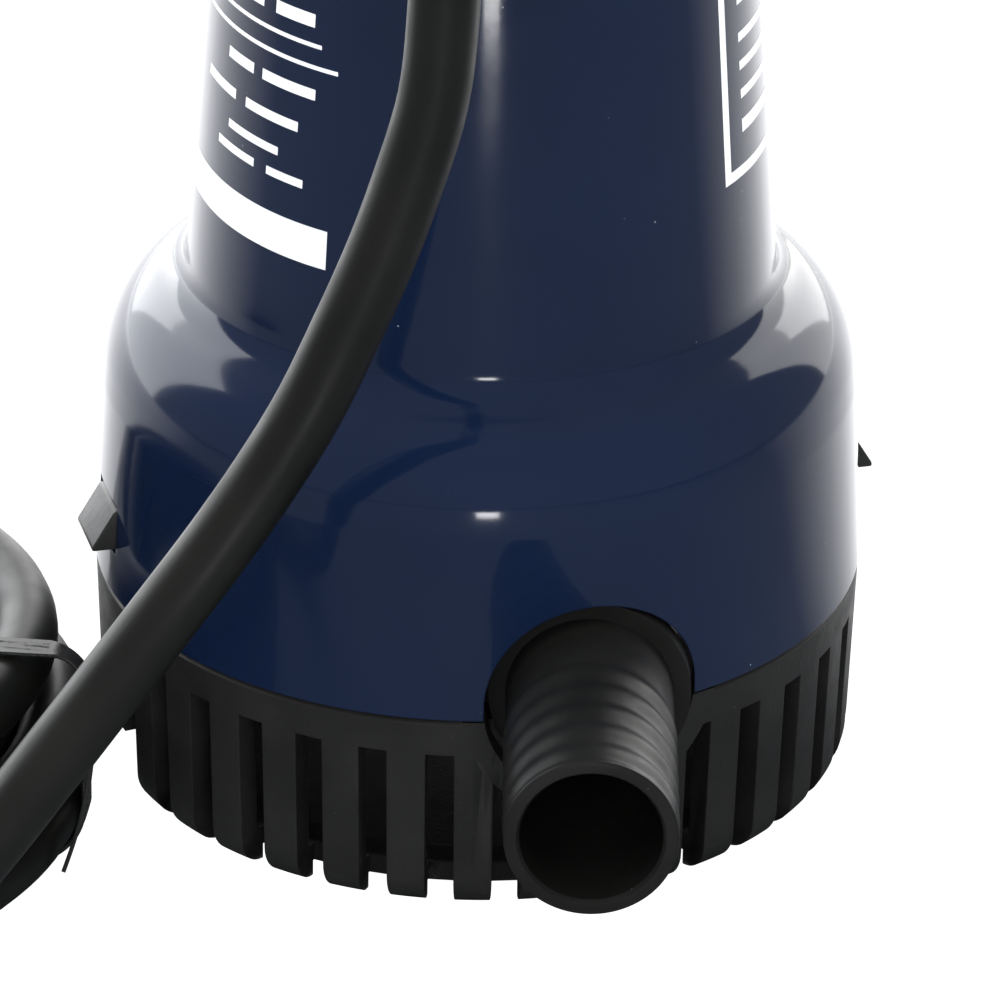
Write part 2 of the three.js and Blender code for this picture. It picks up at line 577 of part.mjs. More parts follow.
function commutator() {
  const { radius, bottomZ, topZ, bars } = COMMUTATOR;
  const groove = block([-0.2, -radius - 1, bottomZ - 1], [0.2, -radius + 0.5, topZ + 1]);
  const sleeve = ring(onShaft, radius, bottomZ, topZ, ROUND_INSIDE);
  return cutBy(sleeve, evenly(bars).map((azimuth) => turnedTo(groove, azimuth)));
}

/** Semi-open impeller: curved blades under a flat shroud. */
function impeller() {
  const { radius, hub, bottomZ, shroudZ, topZ, blades, blade } = IMPELLER;
  const sweep = new THREE.Shape();
  const bladeArc = radius * 0.72;
  sweep.absarc(bladeArc, 0, bladeArc + blade / 2, Math.PI, Math.PI * 1.52, false);
  sweep.absarc(bladeArc, 0, bladeArc - blade / 2, Math.PI * 1.52, Math.PI, true);
  const curved = prism(sweep, bottomZ + 0.4, shroudZ + 0.2, 5).translate([-hub + 0.6, 0, 0]);
  const trimmed = curved.intersect(ring(hub - 0.6, radius - 0.1, bottomZ, topZ, ROUND_INSIDE));
  const wheel = turned([
    [onShaft, bottomZ], [hub, bottomZ], [hub, shroudZ], [radius, shroudZ], [radius, topZ], [onShaft, topZ],
  ], ROUND_INSIDE);
  return joined([wheel, ...evenly(blades).map((azimuth) => turnedTo(trimmed, azimuth))]);
}

function impellerNut() {
  const { flats, bottomZ, topZ } = IMPELLER_NUT;
  return prism(hexagon(flats), bottomZ, topZ).subtract(disc(onShaft, bottomZ - 1, topZ + 1));
}

addPart('motor_shaft', 'stainless', disc(SHAFT.radius, SHAFT.bottomZ, SHAFT.topZ));
addPart('armature_core', 'lamination', armatureCore());
addPart('armature_windings', 'copper', armatureWindings());
addPart('commutator', 'copper', commutator());
addPart('shaft_slinger', 'rubber', ring(onShaft, SLINGER.radius, SLINGER.bottomZ, SLINGER.topZ));
addPart('impeller', 'natural', impeller());
addPart('impeller_nut', 'stainless', impellerNut());

// ---------------------------------------------------------------- cable gland and inner leads

function glandBody() {
  const { thread, hexFlats, bottomZ, flangeTopZ, threadTopZ, bore } = GLAND;
  const flange = prism(hexagon(hexFlats), SHELL.crownZ + TOUCH_GAP, flangeTopZ);
  const body = disc(thread, bottomZ, threadTopZ).add(flange);
  return body.subtract(disc(bore, bottomZ - 1, threadTopZ + 1));
}

function glandCap() {
  const { thread, hexFlats, flangeTopZ, threadTopZ, capTopZ, capHole, capDome } = GLAND;
  const low = flangeTopZ + TOUCH_GAP;
  const domed = turned([
    [0, low], [capDome[0][0], low], ...capDome.map(([r, down]) => [r, capTopZ - down]), [0, capTopZ],
  ], ROUND_SMALL);
  const cap = prism(hexagon(hexFlats), low, capTopZ).intersect(domed);
  return cutBy(cap, [disc(thread + TOUCH_GAP, low - 1, threadTopZ + 0.6), disc(capHole, low, capTopZ + 1)]);
}

function lockNut() {
  const { thread, hexFlats, lockNutBottomZ, lockNutTopZ } = GLAND;
  const nut = prism(hexagon(hexFlats), lockNutBottomZ, lockNutTopZ);
  return nut.subtract(disc(thread + TOUCH_GAP, lockNutBottomZ - 1, lockNutTopZ + 1));
}

function strainRelief() {
  const { stemRadius, stemBottomZ, footRadius, footZ, footHeight, tipRadius, topZ } = RELIEF;
  return turned([
    [0, stemBottomZ], [stemRadius, stemBottomZ], [stemRadius, footZ], [footRadius, footZ],
    [footRadius, footZ + footHeight], [tipRadius, topZ], [0, topZ],
  ], ROUND_SMALL);
}

/** Insulated wire from the brush card, through the end bell, up into the gland. */
function innerLead(side) {
  const { radius, sides, besideAxis } = INNER_LEAD;
  const points = [
    [0, LEAD_HOLES.circle * side, BRUSH_CARD.topZ - 1], [0, LEAD_HOLES.circle * side, 106],
    [0, 12 * side, 110.5],
    [0, 7 * side, 114], [0, 2.6 * side, 117.6], [0, besideAxis * side, 124], [0, besideAxis * side, 131],
  ];
  return cordTube(points, radius, sides, ROUND_HOLE);
}

addPart('gland_body', 'black', glandBody());
addPart('gland_cap', 'black', glandCap());
addPart('gland_lock_nut', 'black', lockNut());
addPart('strain_relief', 'rubber', strainRelief());
addPart('inner_lead_positive', 'red', innerLead(1));
addPart('inner_lead_negative', 'rubber', innerLead(-1));

// ---------------------------------------------------------------- cord, coil and its ends

/** Outer shape of the coiled cord, with its corners taken off. */
function cordCoil() {
  const { x, y, innerRadius, outerRadius, bottomZ, topZ, edge } = COIL;
  return turned([
    [innerRadius + edge, bottomZ], [outerRadius - edge, bottomZ], [outerRadius, bottomZ + edge],
    [outerRadius, topZ - edge], [outerRadius - edge, topZ], [innerRadius + edge, topZ],
    [innerRadius, topZ - edge], [innerRadius, bottomZ + edge],
  ], ROUND_INSIDE).translate([x, y, 0]);
}

/** Band round the coil's section, at one place on the ring. */
function cordTie() {
  const { innerRadius, outerRadius, bottomZ, topZ } = COIL;
  const inner = TOUCH_GAP;
  const outer = TOUCH_GAP + TIE.thickness;
  const band = (grow) => block(
    [-TIE.width / 2 - (grow === inner ? 1 : 0), -outerRadius - grow, bottomZ - grow],
    [TIE.width / 2 + (grow === inner ? 1 : 0), -innerRadius + grow, topZ + grow],
  );
  return turnedTo(band(outer).subtract(band(inner)), TIE.azimuth).translate([COIL.x, COIL.y, 0]);
}

/** One of the two cores that stick out of the sheath's end, along the inside of the coil. */
function endLead(side) {
  const { circle, startAngle, apart, sheathZ, restZ, steps } = LEAD;
  const points = Array.from({ length: steps + 1 }, (_, k) => {
    const done = k / steps;
    const angle = radians(startAngle - LEAD.sweep * done);
    const away = circle + (side * apart) / 2 - LEAD.inward * (2 - side) * done;
    const z = sheathZ + (restZ - sheathZ) * done;
    return [COIL.x + away * Math.cos(angle), COIL.y + away * Math.sin(angle), z];
  });
  return cordTube(points, LEAD.radius, LEAD.sides, LEAD.tubeSteps);
}

addPart('cord_span', 'cable', cordTube(CORD_ROUTE, CORD.radius, CORD.sides, CORD.steps));
addPart('cord_coil', 'cable', cordCoil());
addPart('cord_tie', 'black', cordTie());
addPart('lead_positive', 'red', endLead(1));
addPart('lead_negative', 'rubber', endLead(-1));

export default pump;
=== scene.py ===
"""Looks of the bilge pump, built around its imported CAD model. Metres, +Z up, outlet towards -Y."""

import json
import math

import bmesh
import bpy
from mathutils import Matrix, Vector


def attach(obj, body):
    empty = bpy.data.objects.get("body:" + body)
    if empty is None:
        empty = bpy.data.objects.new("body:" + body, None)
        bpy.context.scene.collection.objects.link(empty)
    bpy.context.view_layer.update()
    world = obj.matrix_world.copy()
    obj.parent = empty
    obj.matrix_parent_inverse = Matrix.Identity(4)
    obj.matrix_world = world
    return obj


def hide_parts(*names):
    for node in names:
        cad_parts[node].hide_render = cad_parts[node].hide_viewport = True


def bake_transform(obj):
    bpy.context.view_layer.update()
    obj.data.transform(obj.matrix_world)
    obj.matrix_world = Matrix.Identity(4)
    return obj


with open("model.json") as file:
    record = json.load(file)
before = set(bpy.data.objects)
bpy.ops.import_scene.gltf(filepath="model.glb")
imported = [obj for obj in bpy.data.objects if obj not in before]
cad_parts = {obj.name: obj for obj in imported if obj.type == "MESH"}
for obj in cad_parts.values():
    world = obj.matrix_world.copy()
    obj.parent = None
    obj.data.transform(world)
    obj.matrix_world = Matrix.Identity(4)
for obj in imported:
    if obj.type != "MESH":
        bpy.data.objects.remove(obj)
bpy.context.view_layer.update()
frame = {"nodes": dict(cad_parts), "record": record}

MM = 0.001

# ------------------------------------------------------------ sizes, in millimetres

SHELL = {
    "rim_radius": 46, "rim_z": 26.3, "crease_radius": 45, "crease_z": 49.7, "wall": 2.2,
    "shoulder_radius": 34.3, "shoulder_z": 49.6, "reach": 10.6, "rise": 12.6,
    "neck_radius": 34.9, "neck_z": 66.2, "top_radius": 30.7, "top_z": 121, "top_rounding": 4.5,
    "throat_flare": 0.22, "throat_height": 3, "throat_fillet": 2.3,
    "crown_radius": 12, "crown_z": 126, "gland_hole": 7.3,
}
OUTLET = {
    "x": 13.27, "z": 27.85, "radius": 10.03, "bore": 8.11, "mouth_y": -75.5,
    "boss_radius": 11.8, "boss_y": -41.5, "clearance": 12.25, "arch_rim": 2.6,
    "root_y": -18, "bore_end_y": -2, "way_near_y": -30, "way_far_y": -52,
    "barbs": 5, "barb_pitch": 4.6, "barb_height": 0.28, "barb_steps": 8, "barb_lean": 0.75,
    "first_barb_y": -52,
}
BASE = {
    "foot_radius": 45.2, "top_radius": 45.9, "height": 26, "wall": 3.2, "rounding": 4.6, "floor": 2.6,
    "collar_radius": 43.1, "collar_wall": 1.7, "collar_top": 31,
    "slots": 36, "slot_width": 3.4, "slot_top": 21.5, "slot_depth": 40.6,
    "ring_inner": 36.4, "ring_low": 1.9, "ring_high": 4.3,
    "hole_radius": 2.4, "hole_circle": 33, "first_hole": 60,
}
LATCH = {
    "azimuth": -75, "width": 8.4, "clearance": 0.35, "arm_inner": 41.5, "arm_outer": 43,
    "panel_inner": 44.1, "panel_half": 6.2, "notch_top": 8.5, "root_top": 12.5, "swing_room": 5.5,
    "bottom": 8.8, "head_bottom": 32.1, "head_top": 37.3, "head_tip": 48.3,
    "window_inner": 40, "window_outer": 60, "window_gap": 0.6,
}
VOLUTE = {
    "chamber": 22, "wall": 3.4, "bottom": 17.5, "roof": 36.4, "top": 39.9, "flange": 33.8,
    "shaft_hole": 4.5, "screw_hole": 1.7, "screw_circle": 29.8, "first_screw": 80,
    "cover_hole": 1.3, "cover_circle": 23.7, "first_cover_hole": 120,
}
GLAND = {
    "flats": 20, "hex_rounding": 1.1, "thread": 7, "thread_low": 117, "thread_top": 131.2, "cord_hole": 4.6,
    "flange_low": 126.3, "flange_top": 129.4,
    "flange_hole": 5, "hole_low": 120, "hole_top": 133,
    "cap_low": 129.7, "cap_top": 137.4, "cap_thread": 7.3, "cap_thread_top": 131.8,
    "dome_radius": 11.4, "dome_rounding": 4,
    "mouth": 5.7, "mouth_edge": 6.3, "mouth_low": 128, "mouth_top": 139,
}
RELIEF = {
    "root_radius": 5.3, "root_z": 132, "foot_radius": 6.6, "foot_z": 137.7, "tip_radius": 4.7, "top_z": 151,
    "rings": 5, "ring_depth": 0.75,
}
# Place of the coil, and the radii of its two columns of turns.
COIL = {"x": -94, "y": -24, "inner": 36, "outer": 44, "low_z": 5.2}
TIE = {
    "azimuth": 84, "spreads": (-6.5, -3, 0.5, 4), "gathered": 0.12, "knot_angle": 0.9,
    "middle_z": 13.2, "half_r": 4, "half_z": 8, "corner": 4.5, "loop_steps": 72,
    "strand_width": 1.5, "tail_width": 1.4, "thickness": 0.5, "out": 48.9,
    "knot_radius": 0.7, "knot_z": 21.6, "knot_sweep": 2.3, "knot_rise": 1.5, "knot_pitch": 0.5,
    "knot_turns": 2.5, "knot_steps": 18, "tail_z": 21.5, "tail_steps": 14,
    "tails": ((-14, 2.4, 1.2), (9, 12, 1.8)),  # degrees turned, height of the end and outward bow
}
LEAD = {"radius": 1.5, "circle": 28.3, "apart": 3.5, "start": 40, "sweep": 62, "inward": 2, "rest_z": 1.8}
PRINT_LIFT = 0.03  # half the thickness of a printed patch
PRINT_STEP = 1.5  # degrees along each of a patch's short flats
OUTSIDE_Y = -50  # past the walls, where the tools that cut them from outside end

CORD_DIAMETER = 0.008  # metres, like the two spacings of line points
CORD_LINE_SPACING = 0.0022
LEAD_LINE_SPACING = 0.0008
CORD_ROUTE = [  # millimetres, from the strain relief to the coil
    (0, 0, 151.3), (0, -0.3, 158.5), (-0.4, -3, 170), (-1, -10.2, 181), (-1.7, -21.3, 187.9),
    (-2.4, -34.5, 189.4), (-3.1, -46.8, 185.2), (-3.7, -56.5, 176), (-4.1, -61.5, 163.5),
    (-4.2, -62.7, 150), (-4.2, -62.6, 137), (-4.4, -61.5, 124), (-5.5, -60.5, 112),
    (-8.7, -60, 100), (-11.4, -60, 92), (-15, -60, 83), (-18.9, -61, 74.4), (-23.7, -62, 66),
    (-28.9, -64, 58.5), (-34.6, -66.5, 51.2), (-40.6, -70.8, 44.4), (-47, -76.5, 37.7),
    (-53.8, -82.5, 30.7), (-62, -88.5, 22.8), (-71, -94.5, 16), (-82, -98.3, 10.4),
    (-94, -98.6, 6.8), (-104.5, -95, 5.5), (-115, -88, 5.2), (-124.5, -78.5, 5.2), (-133, -67, 5.2),
    (-139.9, -54, 5.2), (-144.5, -37.8, 5.2),
]

# ------------------------------------------------------------ camera

CAMERA = {
    "place": (0.0, -0.86929, 0.48467), "forward": (0.0, 0.892770, -0.450513),
    "right": (0.999898, 0.006423, 0.012728), "lens": 293.37, "sensor": 36.0,
    "shift_x": 0.0206, "shift_y": -0.1100,
}


def add_camera():
    """Camera fitted to the photo."""
    data = bpy.data.cameras.new("camera")
    data.lens = CAMERA["lens"]
    data.sensor_width = CAMERA["sensor"]
    data.shift_x = CAMERA["shift_x"]
    data.shift_y = CAMERA["shift_y"]
    data.clip_end = 20
    camera = bpy.data.objects.new("camera", data)
    forward = Vector(CAMERA["forward"]).normalized()
    right = Vector(CAMERA["right"]).normalized()
    up = right.cross(forward).normalized()
    turn = Matrix((right, up, -forward)).transposed()
    camera.matrix_world = Matrix.Translation(CAMERA["place"]) @ turn.to_4x4()
    bpy.context.scene.collection.objects.link(camera)
    bpy.context.scene.camera = camera


add_camera()

# ------------------------------------------------------------ mesh helpers


def new_object(name, mesh):
    piece = bpy.data.objects.new(name, mesh)
    bpy.context.scene.collection.objects.link(piece)
    return piece


def mesh_from(name, vertices, faces):
    """Object with a cleaned mesh, from vertices in millimetres."""
    mesh = bpy.data.meshes.new(name)
    mesh.from_pydata([tuple(c * MM for c in v) for v in vertices], [], faces)
    mesh.validate()
    work = bmesh.new()
    work.from_mesh(mesh)
    bmesh.ops.remove_doubles(work, verts=work.verts, dist=1e-7)
    bmesh.ops.recalc_face_normals(work, faces=work.faces)
    work.to_mesh(mesh)
    work.free()
    return new_object(name, mesh)


def turned(name, outline, segments):
    """Solid turned about Z from (radius, z) points that start and end on the axis, or that close."""
    points = list(outline)
    on_axis = points[0][0] == 0
    if not on_axis:
        points.append(points[0])
    vertices, faces = [], []
    for k in range(segments):
        angle = 2 * math.pi * k / segments
        vertices += [(r * math.cos(angle), r * math.sin(angle), z) for r, z in points]
    count = len(points)
    for k in range(segments):
        here, there = k * count, (k + 1) % segments * count
        for i in range(count - 1):
            corners = [here + i, there + i, there + i + 1, here + i + 1]
            if points[i][0] == 0:
                corners = corners[1:]
            elif points[i + 1][0] == 0:
                corners = corners[:3]
            faces.append(corners)
    return mesh_from(name, vertices, faces)


def prism(name, corners, low, high):
    """Upright prism from (x, y) corners."""
    count = len(corners)
    vertices = [(x, y, low) for x, y in corners] + [(x, y, high) for x, y in corners]
    sides = [(i, (i + 1) % count, count + (i + 1) % count, count + i) for i in range(count)]
    return mesh_from(name, vertices, sides + [tuple(range(count)), tuple(range(count, 2 * count))])


def block(name, low, high):
    """Box between two opposite (x, y, z) corners."""
    corners = [(low[0], low[1]), (high[0], low[1]), (high[0], high[1]), (low[0], high[1])]
    return prism(name, corners, low[2], high[2])


def drum(name, radius, low, high, segments):
    """Upright cylinder on the Z axis."""
    return turned(name, [(0, low), (radius, low), (radius, high), (0, high)], segments)


def ring_of_holes(radius, circle, first, low, high, segments):
    """Three cylinders evenly round a circle, the first at its azimuth, to cut holes with."""
    holes = []
    for k in range(3):
        hole = drum("hole", radius, low, high, segments)
        hole.data.transform(Matrix.Translation((0, -circle * MM, 0)))
        holes.append(turn_to(hole, first + 120 * k))
    return holes


def bar_y(name, radius, x, z, y0, y1):
    """Round bar along Y through (x, z)."""
    bar = drum(name, radius, y0, y1, 96)
    lay_along_y(bar, x, z)
    return bar


def lay_along_y(piece, x, z):
    """Turns a piece made about +Z so that its height runs along +Y, on the line through (x, z)."""
    piece.data.transform(Matrix.Rotation(-math.pi / 2, 4, "X"))
    piece.data.transform(Matrix.Translation((x * MM, 0, z * MM)))


def turn_to(piece, azimuth):
    """Turns a piece made in front, towards -Y, to an azimuth counted in degrees from there."""
    piece.data.transform(Matrix.Rotation(math.radians(azimuth), 4, "Z"))
    return piece


def boolean(piece, other, operation):
    """Joins or cuts a piece by another, which is used up."""
    change = piece.modifiers.new("boolean", "BOOLEAN")
    change.operation = operation
    change.solver = "EXACT"
    change.object = other
    apply_modifiers(piece)
    bpy.data.objects.remove(other)
    return piece


def cut(piece, *others):
    for other in others:
        boolean(piece, other, "DIFFERENCE")
    return piece


def join(piece, *others):
    for other in others:
        boolean(piece, other, "UNION")
    return piece


def apply_modifiers(piece):
    depsgraph = bpy.context.evaluated_depsgraph_get()
    mesh = bpy.data.meshes.new_from_object(piece.evaluated_get(depsgraph))
    piece.modifiers.clear()
    piece.data = mesh


def bevel(piece, width, segments, angle):
    """Rounds the edges that are sharper than the angle."""
    change = piece.modifiers.new("bevel", "BEVEL")
    change.width = width * MM
    change.segments = segments
    change.limit_method = "ANGLE"
    change.angle_limit = math.radians(angle)
    change.harden_normals = False
    apply_modifiers(piece)
    return piece


def shade(piece, angle=32):
    """Smooth shading, with edges sharper than the angle kept crisp."""
    piece.data.shade_smooth()
    work = bmesh.new()
    work.from_mesh(piece.data)
    limit = math.radians(angle)
    for edge in work.edges:
        edge.smooth = len(edge.link_faces) == 2 and edge.calc_face_angle(0) < limit
    work.to_mesh(piece.data)
    work.free()
    return piece


def finish_piece(piece, material, body, slot, *replaced):
    """Gives a piece its material and body, and hides the CAD nodes that it replaces; the slot is not used."""
    piece.data.materials.clear()
    piece.data.materials.append(material)
    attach(piece, body)
    if replaced:
        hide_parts(*replaced)
    return piece


# ------------------------------------------------------------ material helpers


class Nodes:
    """A material's node tree, with short calls to add and link nodes."""

    def __init__(self, name, color, roughness, metallic=0.0):
        self.material = bpy.data.materials.new(name)
        self.material.use_nodes = True
        self.tree = self.material.node_tree
        self.shader = self.tree.nodes["Principled BSDF"]
        self.shader.inputs["Base Color"].default_value = (*color, 1)
        self.shader.inputs["Roughness"].default_value = roughness
        self.shader.inputs["Metallic"].default_value = metallic
        self.place = self.tree.nodes.new("ShaderNodeTexCoord").outputs["Object"]

    def add(self, kind, **inputs):
        node = self.tree.nodes.new(kind)
        for key, value in inputs.items():
            self.feed(node, key.replace("_", " "), value)
        return node

    def feed(self, node, key, value):
        """Links a socket to an input, or sets the input's value."""
        socket = node.inputs[key]
        if isinstance(value, bpy.types.NodeSocket):
            self.tree.links.new(value, socket)
        else:
            socket.default_value = value

    def noise(self, scale, detail, roughness=0.5, stretch=None):
        place = self.place
        if stretch:
            mapping = self.add("ShaderNodeMapping", Vector=self.place)
            mapping.inputs["Scale"].default_value = stretch
            place = mapping.outputs["Vector"]
        node = self.add("ShaderNodeTexNoise", Vector=place, Scale=scale, Detail=detail,
                        Roughness=roughness)
        return node.outputs["Fac"]

    def ramp(self, value, low, high, out_low=0.0, out_high=1.0):
        """Turns values between low and high into values between out_low and out_high."""
        node = self.add("ShaderNodeMapRange", Value=value, From_Min=low, From_Max=high,
                        To_Min=out_low, To_Max=out_high)
        node.clamp = True
        return node.outputs["Result"]

    def math(self, operation, a, b=0.0):
        node = self.tree.nodes.new("ShaderNodeMath")
        node.operation = operation
        self.feed(node, 0, a)
        self.feed(node, 1, b)
        return node.outputs[0]

    def mix(self, factor, color_a, color_b):
        """Fades from one colour to the other as the factor goes from 0 to 1."""
        node = self.tree.nodes.new("ShaderNodeMix")
        node.data_type = "RGBA"
        self.feed(node, 0, factor)
        for key, color in ((6, color_a), (7, color_b)):
            self.feed(node, key, (*color, 1) if isinstance(color, tuple) else color)
        return node.outputs[2]

    def from_axis(self):
        """Distance from the Z axis."""
        parts = self.add("ShaderNodeSeparateXYZ", Vector=self.place)
        squares = [self.math("MULTIPLY", parts.outputs[axis], parts.outputs[axis]) for axis in "XY"]
        return self.math("SQRT", self.math("ADD", *squares))

    def specks(self, density, size):
        """1 in sparse small round specks and 0 elsewhere."""
        cells = self.add("ShaderNodeTexVoronoi", Vector=self.place, Scale=density)
        near = self.ramp(cells.outputs["Distance"], size, size * 0.6)
        chosen = self.ramp(self.noise(density * 0.23, 1.0), 0.62, 0.66)
        return self.math("MULTIPLY", near, chosen)

    def bump(self, height, distance, normal=None):
        """Relief of the height texture, its full distance in millimetres."""
        node = self.add("ShaderNodeBump", Height=height, Distance=distance * MM, Strength=1.0)
        if normal is not None:
            self.tree.links.new(normal, node.inputs["Normal"])
        return node.outputs["Normal"]

    def rounded_edges(self, radius):
        node = self.tree.nodes.new("ShaderNodeBevel")
        node.samples = 4
        node.inputs["Radius"].default_value = radius * MM
        return node.outputs["Normal"]

    def set(self, **inputs):
        for key, value in inputs.items():
            self.feed(self.shader, key.replace("_", " "), value)
        return self.material


def moulded_plastic(name, dark, light, roughness, grain_scale, grain_depth,
                    edge=0.0, dust=0.0, inside=0.0, shine=0.5):
    """Moulded plastic: fine grain, slow colour and gloss changes, and a little dust.

    Edges look rounded by the edge radius. Nearer to the Z axis than the inside radius it has painted shade,
    darker and duller, for the unlit inside of a strainer. Lengths are in millimetres.
    """
    nodes = Nodes(name, dark, roughness)
    slow = nodes.noise(90, 4)
    color = nodes.mix(nodes.ramp(slow, 0.35, 0.7), dark, light)
    if dust:
        specks = nodes.specks(900, 0.06)
        color = nodes.mix(nodes.math("MULTIPLY", specks, dust), color, (0.25, 0.25, 0.24))
    # Painted shade: near the axis the colour darkens to 0.12 of the dark colour and the gloss drops, for the
    # unlit inside of the strainer.
    if inside:
        painted_shade = nodes.ramp(nodes.from_axis(), inside * MM, (inside - 0.8) * MM)
        color = nodes.mix(painted_shade, color, tuple(c * 0.12 for c in dark))
        shine = nodes.ramp(painted_shade, 0, 1, shine, 0.04)
    rough = nodes.ramp(nodes.noise(350, 3), 0.3, 0.7, roughness - 0.05, roughness + 0.07)
    normal = nodes.rounded_edges(edge) if edge else None
    normal = nodes.bump(nodes.noise(grain_scale, 3), grain_depth, normal=normal)
    return nodes.set(Base_Color=color, Roughness=rough, Normal=normal, Specular_IOR_Level=shine)


def turned_metal(name, color, roughness):
    """Machined or drawn metal with fine lines round its axis."""
    nodes = Nodes(name, color, roughness, 1.0)
    lines = nodes.noise(60, 3, stretch=(1, 1, 60))
    rough = nodes.ramp(lines, 0.3, 0.7, roughness - 0.08, roughness + 0.12)
    shade_of = nodes.mix(nodes.ramp(nodes.noise(140, 4), 0.3, 0.7), color, tuple(c * 0.7 for c in color))
    normal = nodes.bump(lines, 0.02, normal=nodes.rounded_edges(0.15))
    return nodes.set(Base_Color=shade_of, Roughness=rough, Normal=normal)


def housing_blue():
    """Glossy navy housing: faint mould flow, handling haze and a few dust specks."""
    navy, lighter = (0.0030, 0.0078, 0.0255), (0.0040, 0.0100, 0.031)
    nodes = Nodes("housing_blue", navy, 0.13)
    color = nodes.mix(nodes.ramp(nodes.noise(24, 3), 0.35, 0.65), navy, lighter)
    dust = nodes.specks(520, 0.055)
    color = nodes.mix(nodes.math("MULTIPLY", dust, 0.8), color, (0.30, 0.33, 0.36))
    haze = nodes.ramp(nodes.noise(45, 5, 0.6), 0.42, 0.75, 0.09, 0.17)
    rough = nodes.math("ADD", haze, nodes.math("MULTIPLY", dust, 0.4))
    normal = nodes.bump(nodes.noise(420, 2), 0.006, normal=nodes.rounded_edges(0.25))
    nodes.shader.inputs["Coat Weight"].default_value = 0.25
    nodes.shader.inputs["Coat Roughness"].default_value = 0.05
    return nodes.set(Base_Color=color, Roughness=rough, Normal=normal)


def cable_sheath():
    """Black PVC sheath: satin, with faint lines from its extruder and handling marks."""
    nodes = Nodes("cable_black", (0.006, 0.0063, 0.0053), 0.42)
    darker, lighter = (0.0035, 0.0038, 0.0030), (0.0058, 0.0062, 0.0050)
    color = nodes.mix(nodes.ramp(nodes.noise(70, 4), 0.35, 0.7), darker, lighter)
    rough = nodes.ramp(nodes.noise(160, 4), 0.3, 0.7, 0.38, 0.50)
    normal = nodes.bump(nodes.noise(1900, 3), 0.012)
    return nodes.set(Base_Color=color, Roughness=rough, Normal=normal)


# Darkest and lightest colour, roughness, grain scale and grain depth, then what differs from the usual.
PLASTICS = {
    # base_black's inside radius gives it painted shade inside the strainer.
    "base_black": ((0.0080, 0.0080, 0.0076), (0.0130, 0.0130, 0.0124), 0.48, 2600, 0.06,
                   {"edge": 0.25, "dust": 0.5, "inside": 40.9}),
    # latch_black is the base's black painted lighter, as painted light for the light the latch heads catch;
    # it is also glossier.
    "latch_black": ((0.012, 0.012, 0.012), (0.020, 0.020, 0.0195), 0.30, 1600, 0.03,
                    {"edge": 0.2, "dust": 0.5}),
    "nozzle_black": ((0.0064, 0.0064, 0.0060), (0.0100, 0.0100, 0.0095), 0.38, 1500, 0.014,
                     {"edge": 0.2, "dust": 0.6, "shine": 0.22}),
    "gland_black": ((0.010, 0.010, 0.010), (0.016, 0.016, 0.016), 0.45, 1800, 0.02, {"edge": 0.3}),
    "rubber_black": ((0.009, 0.009, 0.009), (0.015, 0.015, 0.0145), 0.7, 1600, 0.03, {"edge": 0.2}),
    "lead_red": ((0.38, 0.018, 0.010), (0.46, 0.03, 0.02), 0.4, 1500, 0.01, {}),
    "impeller_white": ((0.55, 0.53, 0.45), (0.66, 0.64, 0.56), 0.45, 900, 0.02, {"edge": 0.2}),
    "tie_black": ((0.008, 0.008, 0.008), (0.014, 0.014, 0.014), 0.25, 900, 0.01, {}),
    "carbon": ((0.03, 0.03, 0.032), (0.05, 0.05, 0.052), 0.6, 3000, 0.03, {}),
    "ferrite": ((0.04, 0.04, 0.042), (0.06, 0.06, 0.062), 0.7, 2000, 0.03, {}),
    "print_white": ((0.70, 0.72, 0.74), (0.80, 0.81, 0.82), 0.32, 2500, 0.004, {}),
}
METALS = {
    "stainless": ((0.60, 0.61, 0.62), 0.28),
    "motor_steel": ((0.45, 0.46, 0.48), 0.36),
    "laminations": ((0.16, 0.17, 0.18), 0.5),
    "copper": ((0.62, 0.26, 0.12), 0.35),
    "bronze": ((0.42, 0.27, 0.12), 0.5),
}
MATERIALS = {"housing_blue": housing_blue(), "cable_black": cable_sheath()}
for name, (*values, changes) in PLASTICS.items():
    MATERIALS[name] = moulded_plastic(name, *values, **changes)
for name, (color, roughness) in METALS.items():
    MATERIALS[name] = turned_metal(name, color, roughness)

for part in frame["record"]["subparts"]:
    node = frame["nodes"][part["node"]]
    node.data.materials.clear()
    node.data.materials.append(MATERIALS[part["material_slot"]])
    shade(node)

# ------------------------------------------------------------ cord


def smooth_line(points, spacing):
    """Points at even spacing along a centripetal Catmull-Rom line through the given points."""
    knots = [Vector(p) for p in points]
    ends = [knots[0] * 2 - knots[1], *knots, knots[-1] * 2 - knots[-2]]
    line = []
    for a, b, c, d in zip(ends, ends[1:], ends[2:], ends[3:]):
        t = [0.0]
        for p, q in ((a, b), (b, c), (c, d)):
            t.append(t[-1] + max((q - p).length, 1e-9) ** 0.5)
        steps = max(2, round((c - b).length / spacing))
        for k in range(steps):
            x = t[1] + (t[2] - t[1]) * k / steps
            a1 = (a * (t[1] - x) + b * x) / t[1]
            a2 = (b * (t[2] - x) + c * (x - t[1])) / (t[2] - t[1])
            a3 = (c * (t[3] - x) + d * (x - t[2])) / (t[3] - t[2])
            b1 = (a1 * (t[2] - x) + a2 * x) / t[2]
            b2 = (a2 * (t[3] - x) + a3 * (x - t[1])) / (t[3] - t[1])
            line.append((b1 * (t[2] - x) + b2 * (x - t[1])) / (t[2] - t[1]))
    return line + [knots[-1]]


